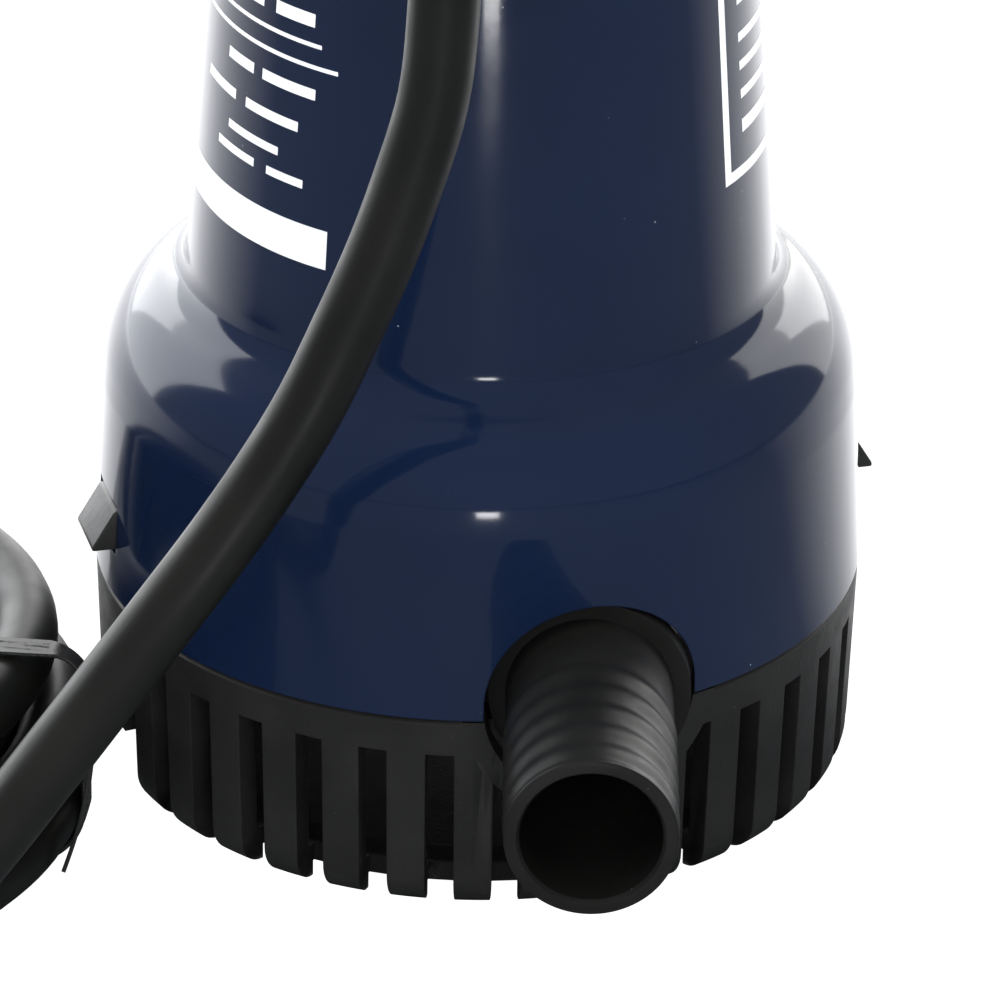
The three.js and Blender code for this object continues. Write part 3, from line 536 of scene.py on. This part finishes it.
def tube(name, line, radius, sides=20):
    """Round tube along a line of points, with flat ends, and its section carried without twist."""
    last = len(line) - 1
    tangents = [(line[min(i + 1, last)] - line[max(i - 1, 0)]).normalized() for i in range(last + 1)]
    side = tangents[0].orthogonal().normalized()
    vertices, faces = [], []
    for i, (point, tangent) in enumerate(zip(line, tangents)):
        side = (side - tangent * side.dot(tangent)).normalized()
        other = tangent.cross(side)
        for k in range(sides):
            angle = 2 * math.pi * k / sides
            vertices.append((point + (side * math.cos(angle) + other * math.sin(angle)) * radius) / MM)
    for i in range(last):
        for k in range(sides):
            a, b = i * sides + k, i * sides + (k + 1) % sides
            faces.append((a, b, b + sides, a + sides))
    faces.append(tuple(range(sides)))
    faces.append(tuple(range(last * sides, (last + 1) * sides)))
    return mesh_from(name, vertices, faces)


COIL_STEPS = 32  # points in each turn of the coil
COIL_START = 195.3  # degrees, where the cord meets its coil
COIL_TURNS = 5.431  # ends where the two leads leave the sheath, on the coil's inside
CLIMB = 0.17  # share of a turn over which the cord climbs to the next layer
FALL = 0.22  # share of a turn over which it drops to the layer below
FALLS = (3.5, 4.5)  # turns at which the two drops end
CROSSING = (2.38, 0.32)  # turn at which it starts to cross to the inner column, and for how long
ARRIVAL = (8.35, 0.2)  # millimetres outside the outer column at the start, and turns to close up
WAY_IN = (5.0, 7.7)  # turn after which the sheath's end swings inwards, and by how much


def ease(value):
    """Smooth step from 0 to 1."""
    value = min(max(value, 0.0), 1.0)
    return value * value * (3 - 2 * value)


def coil_point(turn):
    """Middle of the cord after so many turns: up the outer column, across, and down the inner one."""
    diameter = CORD_DIAMETER / MM
    climbed = sum(ease((turn - end) / CLIMB + 1) for end in (1, 2))
    fallen = sum(ease((turn - end) / FALL + 1) for end in FALLS)
    across = ease((turn - CROSSING[0]) / CROSSING[1])
    swing = ease((turn - WAY_IN[0]) / (COIL_TURNS - WAY_IN[0]))
    arriving = ARRIVAL[0] * (1 - ease(turn / ARRIVAL[1]))
    radius = COIL["outer"] + arriving - diameter * across - WAY_IN[1] * swing
    height = COIL["low_z"] + diameter * (climbed - fallen)
    angle = math.radians(COIL_START - 360 * turn)
    x = COIL["x"] + radius * math.cos(angle)
    y = COIL["y"] + radius * math.sin(angle)
    return Vector((x, y, height)) * MM


def add_cord():
    """Cord from the strain relief to the end of its coil, as its piece and the line of its middle."""
    steps = round(COIL_TURNS * COIL_STEPS)
    coil = [coil_point(COIL_TURNS * k / steps) for k in range(1, steps + 1)]
    line = smooth_line([*(Vector(point) * MM for point in CORD_ROUTE), *coil], CORD_LINE_SPACING)
    piece = shade(tube("cord", line, CORD_DIAMETER / 2), 60)
    piece.data.materials.append(MATERIALS["cable_black"])
    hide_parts("cord_span", "cord_coil")
    return piece, line


cord, cord_line = add_cord()

# ------------------------------------------------------------ shell


def arc(centre_r, centre_z, reach, rise, first, last, steps):
    """Points on an elliptical arc between two angles in degrees."""
    angles = [math.radians(first + (last - first) * k / steps) for k in range(steps + 1)]
    return [(centre_r + reach * math.cos(a), centre_z + rise * math.sin(a)) for a in angles]


def fillet(corner, before, after, size, steps):
    """A corner rounded off by a short quadratic curve."""
    corner, before, after = Vector(corner), Vector(before), Vector(after)
    start = corner + (before - corner).normalized() * size
    end = corner + (after - corner).normalized() * size
    return [tuple(start * (1 - t) ** 2 + corner * 2 * t * (1 - t) + end * t * t)
            for t in (k / steps for k in range(steps + 1))]


def shell_line(inset):
    """Outline of the housing from its rim to its crown, moved in by the inset."""
    s = SHELL
    rim = (s["rim_radius"] - inset, s["rim_z"])
    crease = (s["crease_radius"] - inset, s["crease_z"])
    shoulder = arc(s["shoulder_radius"], s["shoulder_z"], s["reach"] - inset, s["rise"] - inset,
                   first=13, last=72, steps=14)
    neck = (s["neck_radius"] - inset, s["neck_z"])
    top = (s["top_radius"] - inset, s["top_z"])
    before_neck = (neck[0] + s["throat_flare"], s["neck_z"] - s["throat_height"])
    throat_curve = [shoulder[-1], *fillet(before_neck, shoulder[-1], neck, s["throat_fillet"], 6)]
    edge = arc(s["top_radius"] - s["top_rounding"], s["top_z"] - 0.5, s["top_rounding"] - inset,
               s["top_rounding"] - inset, first=4, last=84, steps=8)
    crown = [(s["crown_radius"], s["crown_z"] - inset), (0, s["crown_z"] - inset)]
    crease_curve = fillet(crease, rim, shoulder[0], 0.5, 3)
    return [rim, *crease_curve, *shoulder[:-1], *throat_curve, neck, top, *edge, *crown]


def outlet_way(name, radius, low, high):
    """Round hole along Y for the outlet, open up or down between two heights."""
    o = OUTLET
    x, near, far = o["x"], o["way_near_y"], o["way_far_y"]
    return [
        bar_y(name, radius, x, o["z"], far, near),
        block(name + "_open", (x - radius, far, low), (x + radius, near, high)),
    ]


def latch_sides():
    """Azimuths of the left and the right latch."""
    return (LATCH["azimuth"], LATCH["azimuth"] + 180)


def latch_window(azimuth):
    """Room in the housing's wall for a latch's head."""
    half = LATCH["width"] / 2 + LATCH["clearance"]
    low = LATCH["head_bottom"] - LATCH["window_gap"]
    high = LATCH["head_top"] + LATCH["window_gap"]
    window = block("window", (-half, -LATCH["window_outer"], low), (half, -LATCH["window_inner"], high))
    return turn_to(window, azimuth)


def add_shell():
    s = SHELL
    shell = turned("motor_housing", [(0, s["rim_z"]), *shell_line(0)], 192)
    inner = shell_line(s["wall"])
    inside = turned("inside", [(0, s["rim_z"] - 1), (inner[0][0], s["rim_z"] - 1), *inner], 192)
    windows = [latch_window(side) for side in latch_sides()]
    hole = drum("hole", s["gland_hole"], s["crown_z"] - 5, s["crown_z"] + 1, 48)
    cut(shell, inside, hole, *windows, *outlet_way("arch", OUTLET["clearance"], s["rim_z"] - 1, OUTLET["z"]))
    shade(shell, 28)
    finish_piece(shell, MATERIALS["housing_blue"], "pump", "housing_blue", "outer_housing")


add_shell()

# ------------------------------------------------------------ outlet and volute casing


def barrel_outline():
    """Outside of the outlet's barrel from its root to its mouth, as (radius, y) with soft barbs."""
    o = OUTLET
    low = o["radius"] - o["barb_height"]
    outline = [(0, o["root_y"]), (low, o["root_y"]), (low, o["first_barb_y"] + 1)]
    for k in range(o["barbs"]):
        start = o["first_barb_y"] - k * o["barb_pitch"]
        for step in range(o["barb_steps"]):
            done = step / o["barb_steps"]
            rise = 0.5 - 0.5 * math.cos(2 * math.pi * done ** o["barb_lean"])
            outline.append((low + o["barb_height"] * rise, start - o["barb_pitch"] * done))
    mouth = o["mouth_y"]
    outline += fillet((o["radius"] - 0.1, mouth), (o["radius"] - 0.1, mouth + 2), (0, mouth), 0.5, 3)
    return outline + [(0, mouth)]


def add_volute():
    v, o = VOLUTE, OUTLET
    wide = v["chamber"] + v["wall"]
    casing = turned("volute_casing_body", [
        (0, v["bottom"]), (wide, v["bottom"]), (wide, v["roof"] + 0.4), (v["flange"], v["roof"] + 0.4),
        (v["flange"], v["top"]), (0, v["top"])], 96)
    boss = bar_y("boss", o["boss_radius"], o["x"], o["z"], o["boss_y"], o["boss_y"] + 3)
    barrel = turned("barrel", barrel_outline(), 96)
    lay_along_y(barrel, o["x"], o["z"])
    join(casing, boss, barrel)
    chamber = drum("chamber", v["chamber"], v["bottom"] - 1, v["roof"], 96)
    bore = turned("bore", [
        (0, o["mouth_y"] - 1), (o["bore"] + 0.6, o["mouth_y"] - 1), (o["bore"] + 0.35, o["mouth_y"]),
        (o["bore"], o["mouth_y"] + 0.5), (o["bore"], o["bore_end_y"]), (0, o["bore_end_y"])], 96)
    lay_along_y(bore, o["x"], o["z"])
    shaft_hole = drum("shaft_hole", v["shaft_hole"], v["roof"] - 1, v["top"] + 1, 32)
    upper, lower = v["roof"] - 1, v["bottom"] - 1
    holes = [
        *ring_of_holes(v["screw_hole"], v["screw_circle"], v["first_screw"], upper, upper + 9, 16),
        *ring_of_holes(v["cover_hole"], v["cover_circle"], v["first_cover_hole"], lower, lower + 9, 16),
    ]
    cut(casing, chamber, bore, shaft_hole, *holes)
    shade(casing, 30)
    finish_piece(casing, MATERIALS["nozzle_black"], "pump", "nozzle_black", "volute_casing")


add_volute()

# ------------------------------------------------------------ strainer base


def base_outline():
    """Section of the base: a floor grooved under its edge, the outer wall, and a collar inside the shell."""
    b = BASE
    rounding = [
        (b["foot_radius"] - b["rounding"] + b["rounding"] * math.sin(a),
         b["rounding"] - b["rounding"] * math.cos(a))
        for a in (math.radians(9 * k) for k in range(1, 11))
    ]
    groove = b["slot_depth"] + 0.3
    ring = b["foot_radius"] - b["wall"]
    collar_inner = b["collar_radius"] - b["collar_wall"]
    return [
        (0, 0), (b["ring_inner"], 0), (b["ring_inner"], b["ring_low"]),
        (groove, b["ring_low"]), (groove, 0.01),
        *rounding, (b["top_radius"], b["height"] - 0.4), (b["top_radius"] - 0.4, b["height"]),
        (b["collar_radius"], b["height"]), (b["collar_radius"], b["collar_top"]),
        (collar_inner, b["collar_top"]), (collar_inner, b["height"] - 1),
        (b["top_radius"] - b["wall"], b["height"] - 3), (ring, b["ring_high"]),
        (b["ring_inner"], b["ring_high"]), (b["ring_inner"], b["floor"]), (0, b["floor"]),
    ]


def away(azimuth, other):
    """Degrees between two azimuths."""
    return abs((azimuth - other + 540) % 360 - 180)


def slot_azimuths():
    pitch = 360 / BASE["slots"]
    azimuths = [pitch * (k + 0.5) for k in range(BASE["slots"])]
    panel = LATCH["panel_half"]
    return [a for a in azimuths if all(away(a, side) >= panel for side in latch_sides())]


def notch_rim():
    """Thick edge round the outlet's notch, cut to the base's wall."""
    b, o = BASE, OUTLET
    rim = bar_y("notch_rim", o["clearance"] + o["arch_rim"], o["x"], o["z"], OUTSIDE_Y, o["way_near_y"])
    wall = turned("wall", [
        (b["foot_radius"] - b["wall"], b["floor"]), (b["foot_radius"], b["floor"]),
        (b["top_radius"], b["height"]), (b["top_radius"] - b["wall"], b["height"])], 192)
    return boolean(rim, wall, "INTERSECT")


def latch_bay(azimuth):
    """Room for a latch: its arm below and above the root, and the notch in front of its foot."""
    latch = LATCH
    half, panel = latch["width"] / 2 + latch["clearance"], latch["panel_half"]
    inner_y = -latch["arm_inner"] + latch["swing_room"]
    arm_y, root_top = -latch["arm_outer"] - 0.3, latch["root_top"]
    low = block("bay", (-half, arm_y, BASE["floor"]), (half, inner_y, root_top + 1))
    high = block("bay", (-half, -latch["panel_inner"], root_top), (half, inner_y, BASE["collar_top"] + 1))
    notch = block("bay", (-panel, OUTSIDE_Y, -1), (panel, -BASE["slot_depth"], latch["notch_top"]))
    return [turn_to(piece, azimuth) for piece in (low, high, notch)]


def add_base():
    b = BASE
    base = turned("slotted_base", base_outline(), 288)
    half = b["slot_width"] / 2
    for azimuth in slot_azimuths():
        slot = block("slot", (-half, OUTSIDE_Y, -1), (half, -b["slot_depth"], b["slot_top"]))
        cut(base, turn_to(slot, azimuth))
    join(base, notch_rim())
    arch = outlet_way("arch", OUTLET["clearance"], OUTLET["z"], b["collar_top"] + 1)
    holes = ring_of_holes(b["hole_radius"], b["hole_circle"], b["first_hole"], -1, 4, 24)
    bays = [piece for side in latch_sides() for piece in latch_bay(side)]
    cut(base, *arch, *holes, *bays)
    bevel(base, 0.3, 2, 40)
    shade(base, 40)
    finish_piece(base, MATERIALS["base_black"], "base", "base_black", "strainer_base")


add_base()

# ------------------------------------------------------------ latches


def add_latch(name, azimuth):
    """Flexible arm with a sloped head that looks out of its window."""
    latch, rim = LATCH, SHELL["rim_radius"]
    inner, outer, tip = latch["arm_inner"], latch["arm_outer"], latch["head_tip"]
    bottom, head_bottom, top = latch["bottom"], latch["head_bottom"], latch["head_top"]
    outline = [
        (inner, bottom), (outer, bottom), (outer, head_bottom), (tip, head_bottom), (tip, head_bottom + 0.5),
        (rim - 0.4, top - 0.3), (rim - 1.2, top), (inner, top),
    ]
    arm = prism(name + "_arm", outline, -latch["width"] / 2, latch["width"] / 2)
    arm.data.transform(Matrix.Rotation(math.pi / 2, 4, "X"))
    arm.data.transform(Matrix.Rotation(-math.pi / 2, 4, "Z"))
    turn_to(arm, azimuth)
    bevel(arm, 0.3, 3, 20)
    shade(arm, 40)
    # The latch takes the painted-lighter copy of the base's black, though its slot is base_black.
    finish_piece(arm, MATERIALS["latch_black"], name, "base_black", name)


for name, azimuth in zip(("latch_left", "latch_right"), latch_sides()):
    add_latch(name, azimuth)

# ------------------------------------------------------------ printing on the neck


def neck_radius(z):
    """Radius of the housing's neck at a height."""
    s = SHELL
    narrowing = s["top_radius"] - s["neck_radius"]
    return s["neck_radius"] + narrowing * (z - s["neck_z"]) / (s["top_z"] - s["neck_z"])


def neck_patch(name, start, end, low, high):
    """Thin printed patch on the neck, between two azimuths and two heights."""
    steps = max(2, round(abs(end - start) / PRINT_STEP))
    vertices = []
    for lift in (-PRINT_LIFT, PRINT_LIFT):
        for z in (low, high):
            for k in range(steps + 1):
                angle = math.radians(start + (end - start) * k / steps - 90)
                radius = neck_radius(z) + lift
                vertices.append((radius * math.cos(angle), radius * math.sin(angle), z))
    row = steps + 1
    inner_low, inner_high, outer_low, outer_high = 0, row, 2 * row, 3 * row
    strips = [
        (inner_low, inner_high), (outer_low, outer_high), (inner_low, outer_low), (inner_high, outer_high)]
    faces = [(a + k, a + k + 1, b + k + 1, b + k) for k in range(steps) for a, b in strips]
    faces += [(k, row + k, 3 * row + k, 2 * row + k) for k in (0, steps)]
    patch = mesh_from(name, vertices, faces)
    shade(patch, 30)
    finish_piece(patch, MATERIALS["print_white"], "pump", "housing_blue")


# Plain printed bars and a border, as (first azimuth, last azimuth, lowest z, highest z).
PRINT = [
    (-112, -31.5, 75.8, 80.5), (-112, -30.8, 99.6, 100.1),
    (-100, -72, 104.6, 106.2), (-68, -52, 104.6, 106.2), (-48, -37, 104.6, 106.2),
    (-84, -35, 102.2, 102.7),
    (-64, -54, 95.9, 97.2), (-51, -36, 95.9, 97.2),
    (-74, -60, 91.4, 92.6), (-56, -40, 91.4, 92.6),
    (-62, -45, 87.6, 88.6), (-66, -52, 84.8, 85.8), (-48, -38, 84.8, 85.8),
    (56.6, 58.8, 83.3, 112), (56.6, 112, 82, 83.3), (-100, -52, 109, 111.5),
    (64.3, 108, 87.2, 88.8), (64.3, 96, 91.4, 92.5), (64.3, 104, 94.9, 96), (64.3, 100, 98.4, 99.5),
    (64.3, 110, 103, 105.4),
]

for number, patch in enumerate(PRINT):
    neck_patch("print_%02d" % number, *patch)

# ------------------------------------------------------------ cable gland


def hexagon(flats, rounding):
    """Corners of a hexagon across flats, each rounded off a little."""
    corners = [Vector((math.cos(a), math.sin(a))) * flats / math.sqrt(3)
               for a in (math.radians(60 * k + 30) for k in range(6))]
    outline = []
    for k, corner in enumerate(corners):
        outline += fillet(corner, corners[k - 1], corners[(k + 1) % 6], rounding, 3)
    return outline


def add_gland():
    """Threaded body with a hexagonal flange, and the domed nut screwed on it."""
    g = GLAND
    outline = hexagon(g["flats"], g["hex_rounding"])
    body = turned("gland_thread", [
        (g["cord_hole"], g["thread_low"]), (g["thread"], g["thread_low"]),
        (g["thread"], g["thread_top"]), (g["cord_hole"], g["thread_top"])], 48)
    flange = prism("gland_flange", outline, g["flange_low"], g["flange_top"])
    hole = drum("hole", g["flange_hole"], g["hole_low"], g["hole_top"], 48)
    join(body, cut(flange, hole))
    bevel(body, 0.35, 2, 40)
    shade(body, 35)
    finish_piece(body, MATERIALS["gland_black"], "pump", "gland_black", "gland_body")

    cap = prism("gland_nut", outline, g["cap_low"], g["cap_top"])
    wide, rounding = g["dome_radius"], g["dome_rounding"]
    shoulder_z = g["cap_top"] - rounding
    dome = turned("dome", [
        (0, g["cap_low"]), (wide - 0.2, g["cap_low"]), (wide, g["cap_low"] + 0.5), (wide, shoulder_z),
        *arc(wide - rounding, shoulder_z, rounding, rounding, first=8, last=88, steps=8),
        (0, g["cap_top"])], 96)
    boolean(cap, dome, "INTERSECT")
    thread = drum("thread", g["cap_thread"], g["cap_low"] - 1, g["cap_thread_top"], 48)
    mouth = turned("mouth", [
        (0, g["mouth_low"]), (g["mouth"], g["mouth_low"]), (g["mouth"], g["cap_top"] - 0.6),
        (g["mouth_edge"], g["cap_top"]), (g["mouth_edge"], g["mouth_top"]), (0, g["mouth_top"])], 48)
    cut(cap, thread, mouth)
    bevel(cap, 0.3, 2, 40)
    shade(cap, 35)
    finish_piece(cap, MATERIALS["gland_black"], "pump", "gland_black", "gland_cap")


add_gland()


def relief_outline():
    """Tapered boot with rings moulded round it, which get narrower towards its tip."""
    r = RELIEF
    foot_z, top_z, rings = r["foot_z"], r["top_z"], r["rings"]
    outline = [
        (0, r["root_z"]), (r["root_radius"], r["root_z"]), (r["root_radius"], foot_z),
        (r["foot_radius"], foot_z), (r["foot_radius"], foot_z + 1.6),
    ]
    first = foot_z + 2.2
    pitch = (top_z - 0.8 - first) / rings
    for k in range(rings):
        low = first + k * pitch
        wide = r["foot_radius"] + (r["tip_radius"] - r["foot_radius"]) * (k + 0.3) / rings
        waist = wide - r["ring_depth"]
        crest = wide - 0.1
        outline += [(waist, low), (waist, low + 0.5), (crest, low + 0.8), (crest, low + pitch - 0.4)]
    return outline + [(r["tip_radius"], top_z - 0.4), (r["tip_radius"] - 0.4, top_z), (0, top_z)]


relief = shade(bevel(turned("relief_boot", relief_outline(), 64), 0.12, 2, 30), 35)
finish_piece(relief, MATERIALS["rubber_black"], "pump", "rubber_black", "strain_relief")

# ------------------------------------------------------------ tie and leads


def ribbon(name, line, width, thickness, across, closed=True):
    """Flat strip with soft edges along a line of points; across is its width's direction."""
    quarter = [(0.5, 0.2), (0.42, 0.5)]
    half = quarter + [(-u, v) for u, v in reversed(quarter)]
    section = half + [(-u, -v) for u, v in half]
    vertices, faces = [], []
    count = len(line)
    for i, point in enumerate(line):
        before = line[i - 1] if closed or i else line[0]
        after = line[(i + 1) % count] if closed or i + 1 < count else line[-1]
        ahead = (after - before).normalized()
        wide = (across - ahead * across.dot(ahead)).normalized()
        thick = ahead.cross(wide)
        vertices += [(point + wide * width * u + thick * thickness * v) / MM for u, v in section]
    sides = len(section)
    for i in range(count if closed else count - 1):
        here, there = sides * i, sides * ((i + 1) % count)
        for k in range(sides):
            beside = (k + 1) % sides
            faces.append((here + k, here + beside, there + beside, there + k))
    if not closed:
        faces += [tuple(range(sides)), tuple(range(sides * (count - 1), sides * count))]
    return mesh_from(name, vertices, faces)


def around_coil(azimuth, out, z):
    """Point beside the coil, out millimetres from its middle, in metres."""
    angle = math.radians(azimuth)
    return Vector((COIL["x"] + out * math.sin(angle), COIL["y"] - out * math.cos(angle), z)) * MM


def tie_loop(spread):
    """Closed loop round the coil's section, which spreads sideways away from its knot."""
    middle = (COIL["inner"] + COIL["outer"]) / 2
    corner, gathered = TIE["corner"], TIE["gathered"]
    points = []
    for k in range(TIE["loop_steps"]):
        angle = 2 * math.pi * (k + 0.5) / TIE["loop_steps"]
        cosine, sine = math.cos(angle), math.sin(angle)
        out = middle + math.copysign(TIE["half_r"], cosine) + corner * cosine
        z = TIE["middle_z"] + math.copysign(TIE["half_z"], sine) + corner * sine
        from_knot = (1 - math.cos(angle - TIE["knot_angle"])) / 2
        apart = spread * (gathered + (1 - gathered) * from_knot)
        points.append(around_coil(TIE["azimuth"] + math.degrees(apart / out), out, z))
    return points


def tie_tail(turn, end_z, bow):
    """Line of a tail, from the knot down beside the coil."""
    points = []
    for k in range(TIE["tail_steps"] + 1):
        done = k / TIE["tail_steps"]
        out = TIE["out"] + bow * math.sin(math.pi * done)
        height = TIE["tail_z"] + (end_z - TIE["tail_z"]) * done
        points.append(around_coil(TIE["azimuth"] + turn * done, out, height))
    return points


def tie_knot():
    """Line of the knot, which winds outwards over the strands."""
    points = []
    for k in range(round(TIE["knot_turns"] * TIE["knot_steps"]) + 1):
        turns = k / TIE["knot_steps"]
        angle = 2 * math.pi * turns
        azimuth = TIE["azimuth"] + TIE["knot_sweep"] * math.cos(angle)
        height = TIE["knot_z"] + TIE["knot_rise"] * math.sin(angle)
        points.append(around_coil(azimuth, TIE["out"] + TIE["knot_pitch"] * turns, height))
    return points


def add_tie():
    """Flat tie wound round the coil, knotted at its outer top edge, with two tails."""
    azimuth = math.radians(TIE["azimuth"])
    along = Vector((math.cos(azimuth), math.sin(azimuth), 0))
    strand, tail, thick = (TIE[key] * MM for key in ("strand_width", "tail_width", "thickness"))
    strips = [
        *(ribbon("tie_strand_%d" % k, tie_loop(spread), strand, thick, along)
          for k, spread in enumerate(TIE["spreads"])),
        *(ribbon("tie_tail_%d" % k, tie_tail(*shape), tail, thick, along, closed=False)
          for k, shape in enumerate(TIE["tails"])),
        tube("tie_knot", tie_knot(), TIE["knot_radius"] * MM, 12),
    ]
    tie = strips[0]
    with bpy.context.temp_override(active_object=tie, selected_editable_objects=strips, object=tie):
        bpy.ops.object.join()
    tie.name = "twist_tie"
    shade(tie, 40)
    return finish_piece(tie, MATERIALS["tie_black"], "base", "gland_black", "cord_tie")


tie = add_tie()


def add_lead(name, side, material):
    """Insulated core out of the sheath's end; side is 1 for the outer core and -1 for the inner one."""
    points = []
    for k in range(6):
        done = k / 5
        angle = math.radians(LEAD["start"] - LEAD["sweep"] * done)
        out = LEAD["circle"] + side * LEAD["apart"] / 2 - LEAD["inward"] * (2 - side) * done
        height = COIL["low_z"] + (LEAD["rest_z"] - COIL["low_z"]) * done
        point = Vector((COIL["x"] + out * math.cos(angle), COIL["y"] + out * math.sin(angle), height))
        points.append(point * MM)
    line = smooth_line(points, LEAD_LINE_SPACING)
    lead = shade(bevel(tube(name + "_core", line, LEAD["radius"] * MM), 0.15, 2, 50), 50)
    return finish_piece(lead, MATERIALS[material], "base", material, name)


leads = [add_lead("lead_positive", 1, "lead_red"), add_lead("lead_negative", -1, "rubber_black")]

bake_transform(cord)

# ------------------------------------------------------------ floor and lights


FLOOR_HALF = 6  # metres
BACKDROP_Z = -0.001
CLOTH_Z = 0.0005


def level_square(name, z):
    """Large square at a height in metres."""
    corners = [(-1, -1), (1, -1), (1, 1), (-1, 1)]
    mesh = bpy.data.meshes.new(name)
    mesh.from_pydata([(x * FLOOR_HALF, y * FLOOR_HALF, z) for x, y in corners], [], [(0, 1, 2, 3)])
    return new_object(name, mesh)


def white_surface(name, glow=0.0):
    """Matt white with a faint change of gloss; glow 1 is as bright as the picture's white."""
    nodes = Nodes(name, FLOOR_WHITE, 0.7)
    nodes.shader.inputs["Emission Color"].default_value = (1, 1, 1, 1)
    nodes.shader.inputs["Emission Strength"].default_value = glow
    return nodes.set(Roughness=nodes.ramp(nodes.noise(3, 2), 0.3, 0.7, 0.65, 0.75))


FLOOR_WHITE = (0.86, 0.86, 0.87)
CLOTH_DARK = (0.075, 0.08, 0.086)

# The floor spreads the light, but the camera doesn't see it.
floor = level_square("floor", 0)
floor.data.materials.append(white_surface("floor_white"))
floor.visible_camera = False

# Only the camera sees the white backdrop just under the floor, so the picture shows no shadow on it.
backdrop = level_square("backdrop", BACKDROP_Z)
backdrop.data.materials.append(white_surface("backdrop_white", 1.0))
backdrop.visible_diffuse = False
backdrop.visible_glossy = False
backdrop.visible_shadow = False


def dark_cloth(name, dark, light, first, last):
    """Cloth that is light straight behind the object and dark past the last angle off that, in degrees."""
    nodes = Nodes(name, dark, 0.9)
    parts = nodes.add("ShaderNodeSeparateXYZ", Vector=nodes.place)
    sideways = nodes.math("ABSOLUTE", parts.outputs["X"])
    angle = nodes.math("ARCTAN2", sideways, parts.outputs["Y"])
    color = nodes.mix(nodes.ramp(angle, math.radians(first), math.radians(last)), light, dark)
    return nodes.set(Base_Color=color)


# Only reflections see the cloth, dark in front of the object and beside it, as in a photographer's studio.
cloth = level_square("dark_cloth", CLOTH_Z)
cloth.data.materials.append(dark_cloth("cloth_dark", CLOTH_DARK, FLOOR_WHITE, first=40, last=92))
cloth.visible_camera = False
cloth.visible_diffuse = False
cloth.visible_shadow = False


def soft_light(name, place, target, size, power, color=(1, 1, 1), in_gloss=True):
    """Rectangular area light aimed at a target; in_gloss False keeps it out of reflections."""
    data = bpy.data.lights.new(name, "AREA")
    data.shape = "RECTANGLE"
    data.size, data.size_y = size
    data.energy = power
    data.color = color
    light = bpy.data.objects.new(name, data)
    light.location = place
    aim = Vector(target) - Vector(place)
    light.rotation_euler = aim.to_track_quat("-Z", "Y").to_euler()
    light.visible_glossy = in_gloss
    bpy.context.scene.collection.objects.link(light)


soft_light("light_left", place=(-0.95, 1.1, 0.6), target=(0, 0, 0.08), size=(1.7, 1.4), power=21,
           color=(0.97, 0.985, 1))
soft_light("light_right", place=(0.75, 1.3, 0.6), target=(0, 0, 0.08), size=(1.5, 1.4), power=13,
           color=(1, 0.99, 0.97))
soft_light("light_top", place=(-0.25, -0.1, 1.9), target=(0, 0, 0), size=(2.6, 2.2), power=75, in_gloss=False)
soft_light("light_front", place=(0, -2.0, 0.8), target=(0, 0, 0.05), size=(2.0, 1.0), power=34,
           in_gloss=False)
soft_light("light_back", place=(0, 1.9, 0.7), target=(0, 0, 0.1), size=(3.0, 1.2), power=26)
soft_light("glint", place=(0.02, -0.42, 0.015), target=(0, -0.045, 0.05), size=(0.045, 0.03), power=0.06)

world = bpy.data.worlds.new("studio")
world.use_nodes = True
sky = world.node_tree.nodes["Background"]
sky.inputs["Color"].default_value = (0.75, 0.78, 0.82, 1)
sky.inputs["Strength"].default_value = 0.27
bpy.context.scene.world = world
bpy.context.scene.view_settings.view_transform = "Standard"
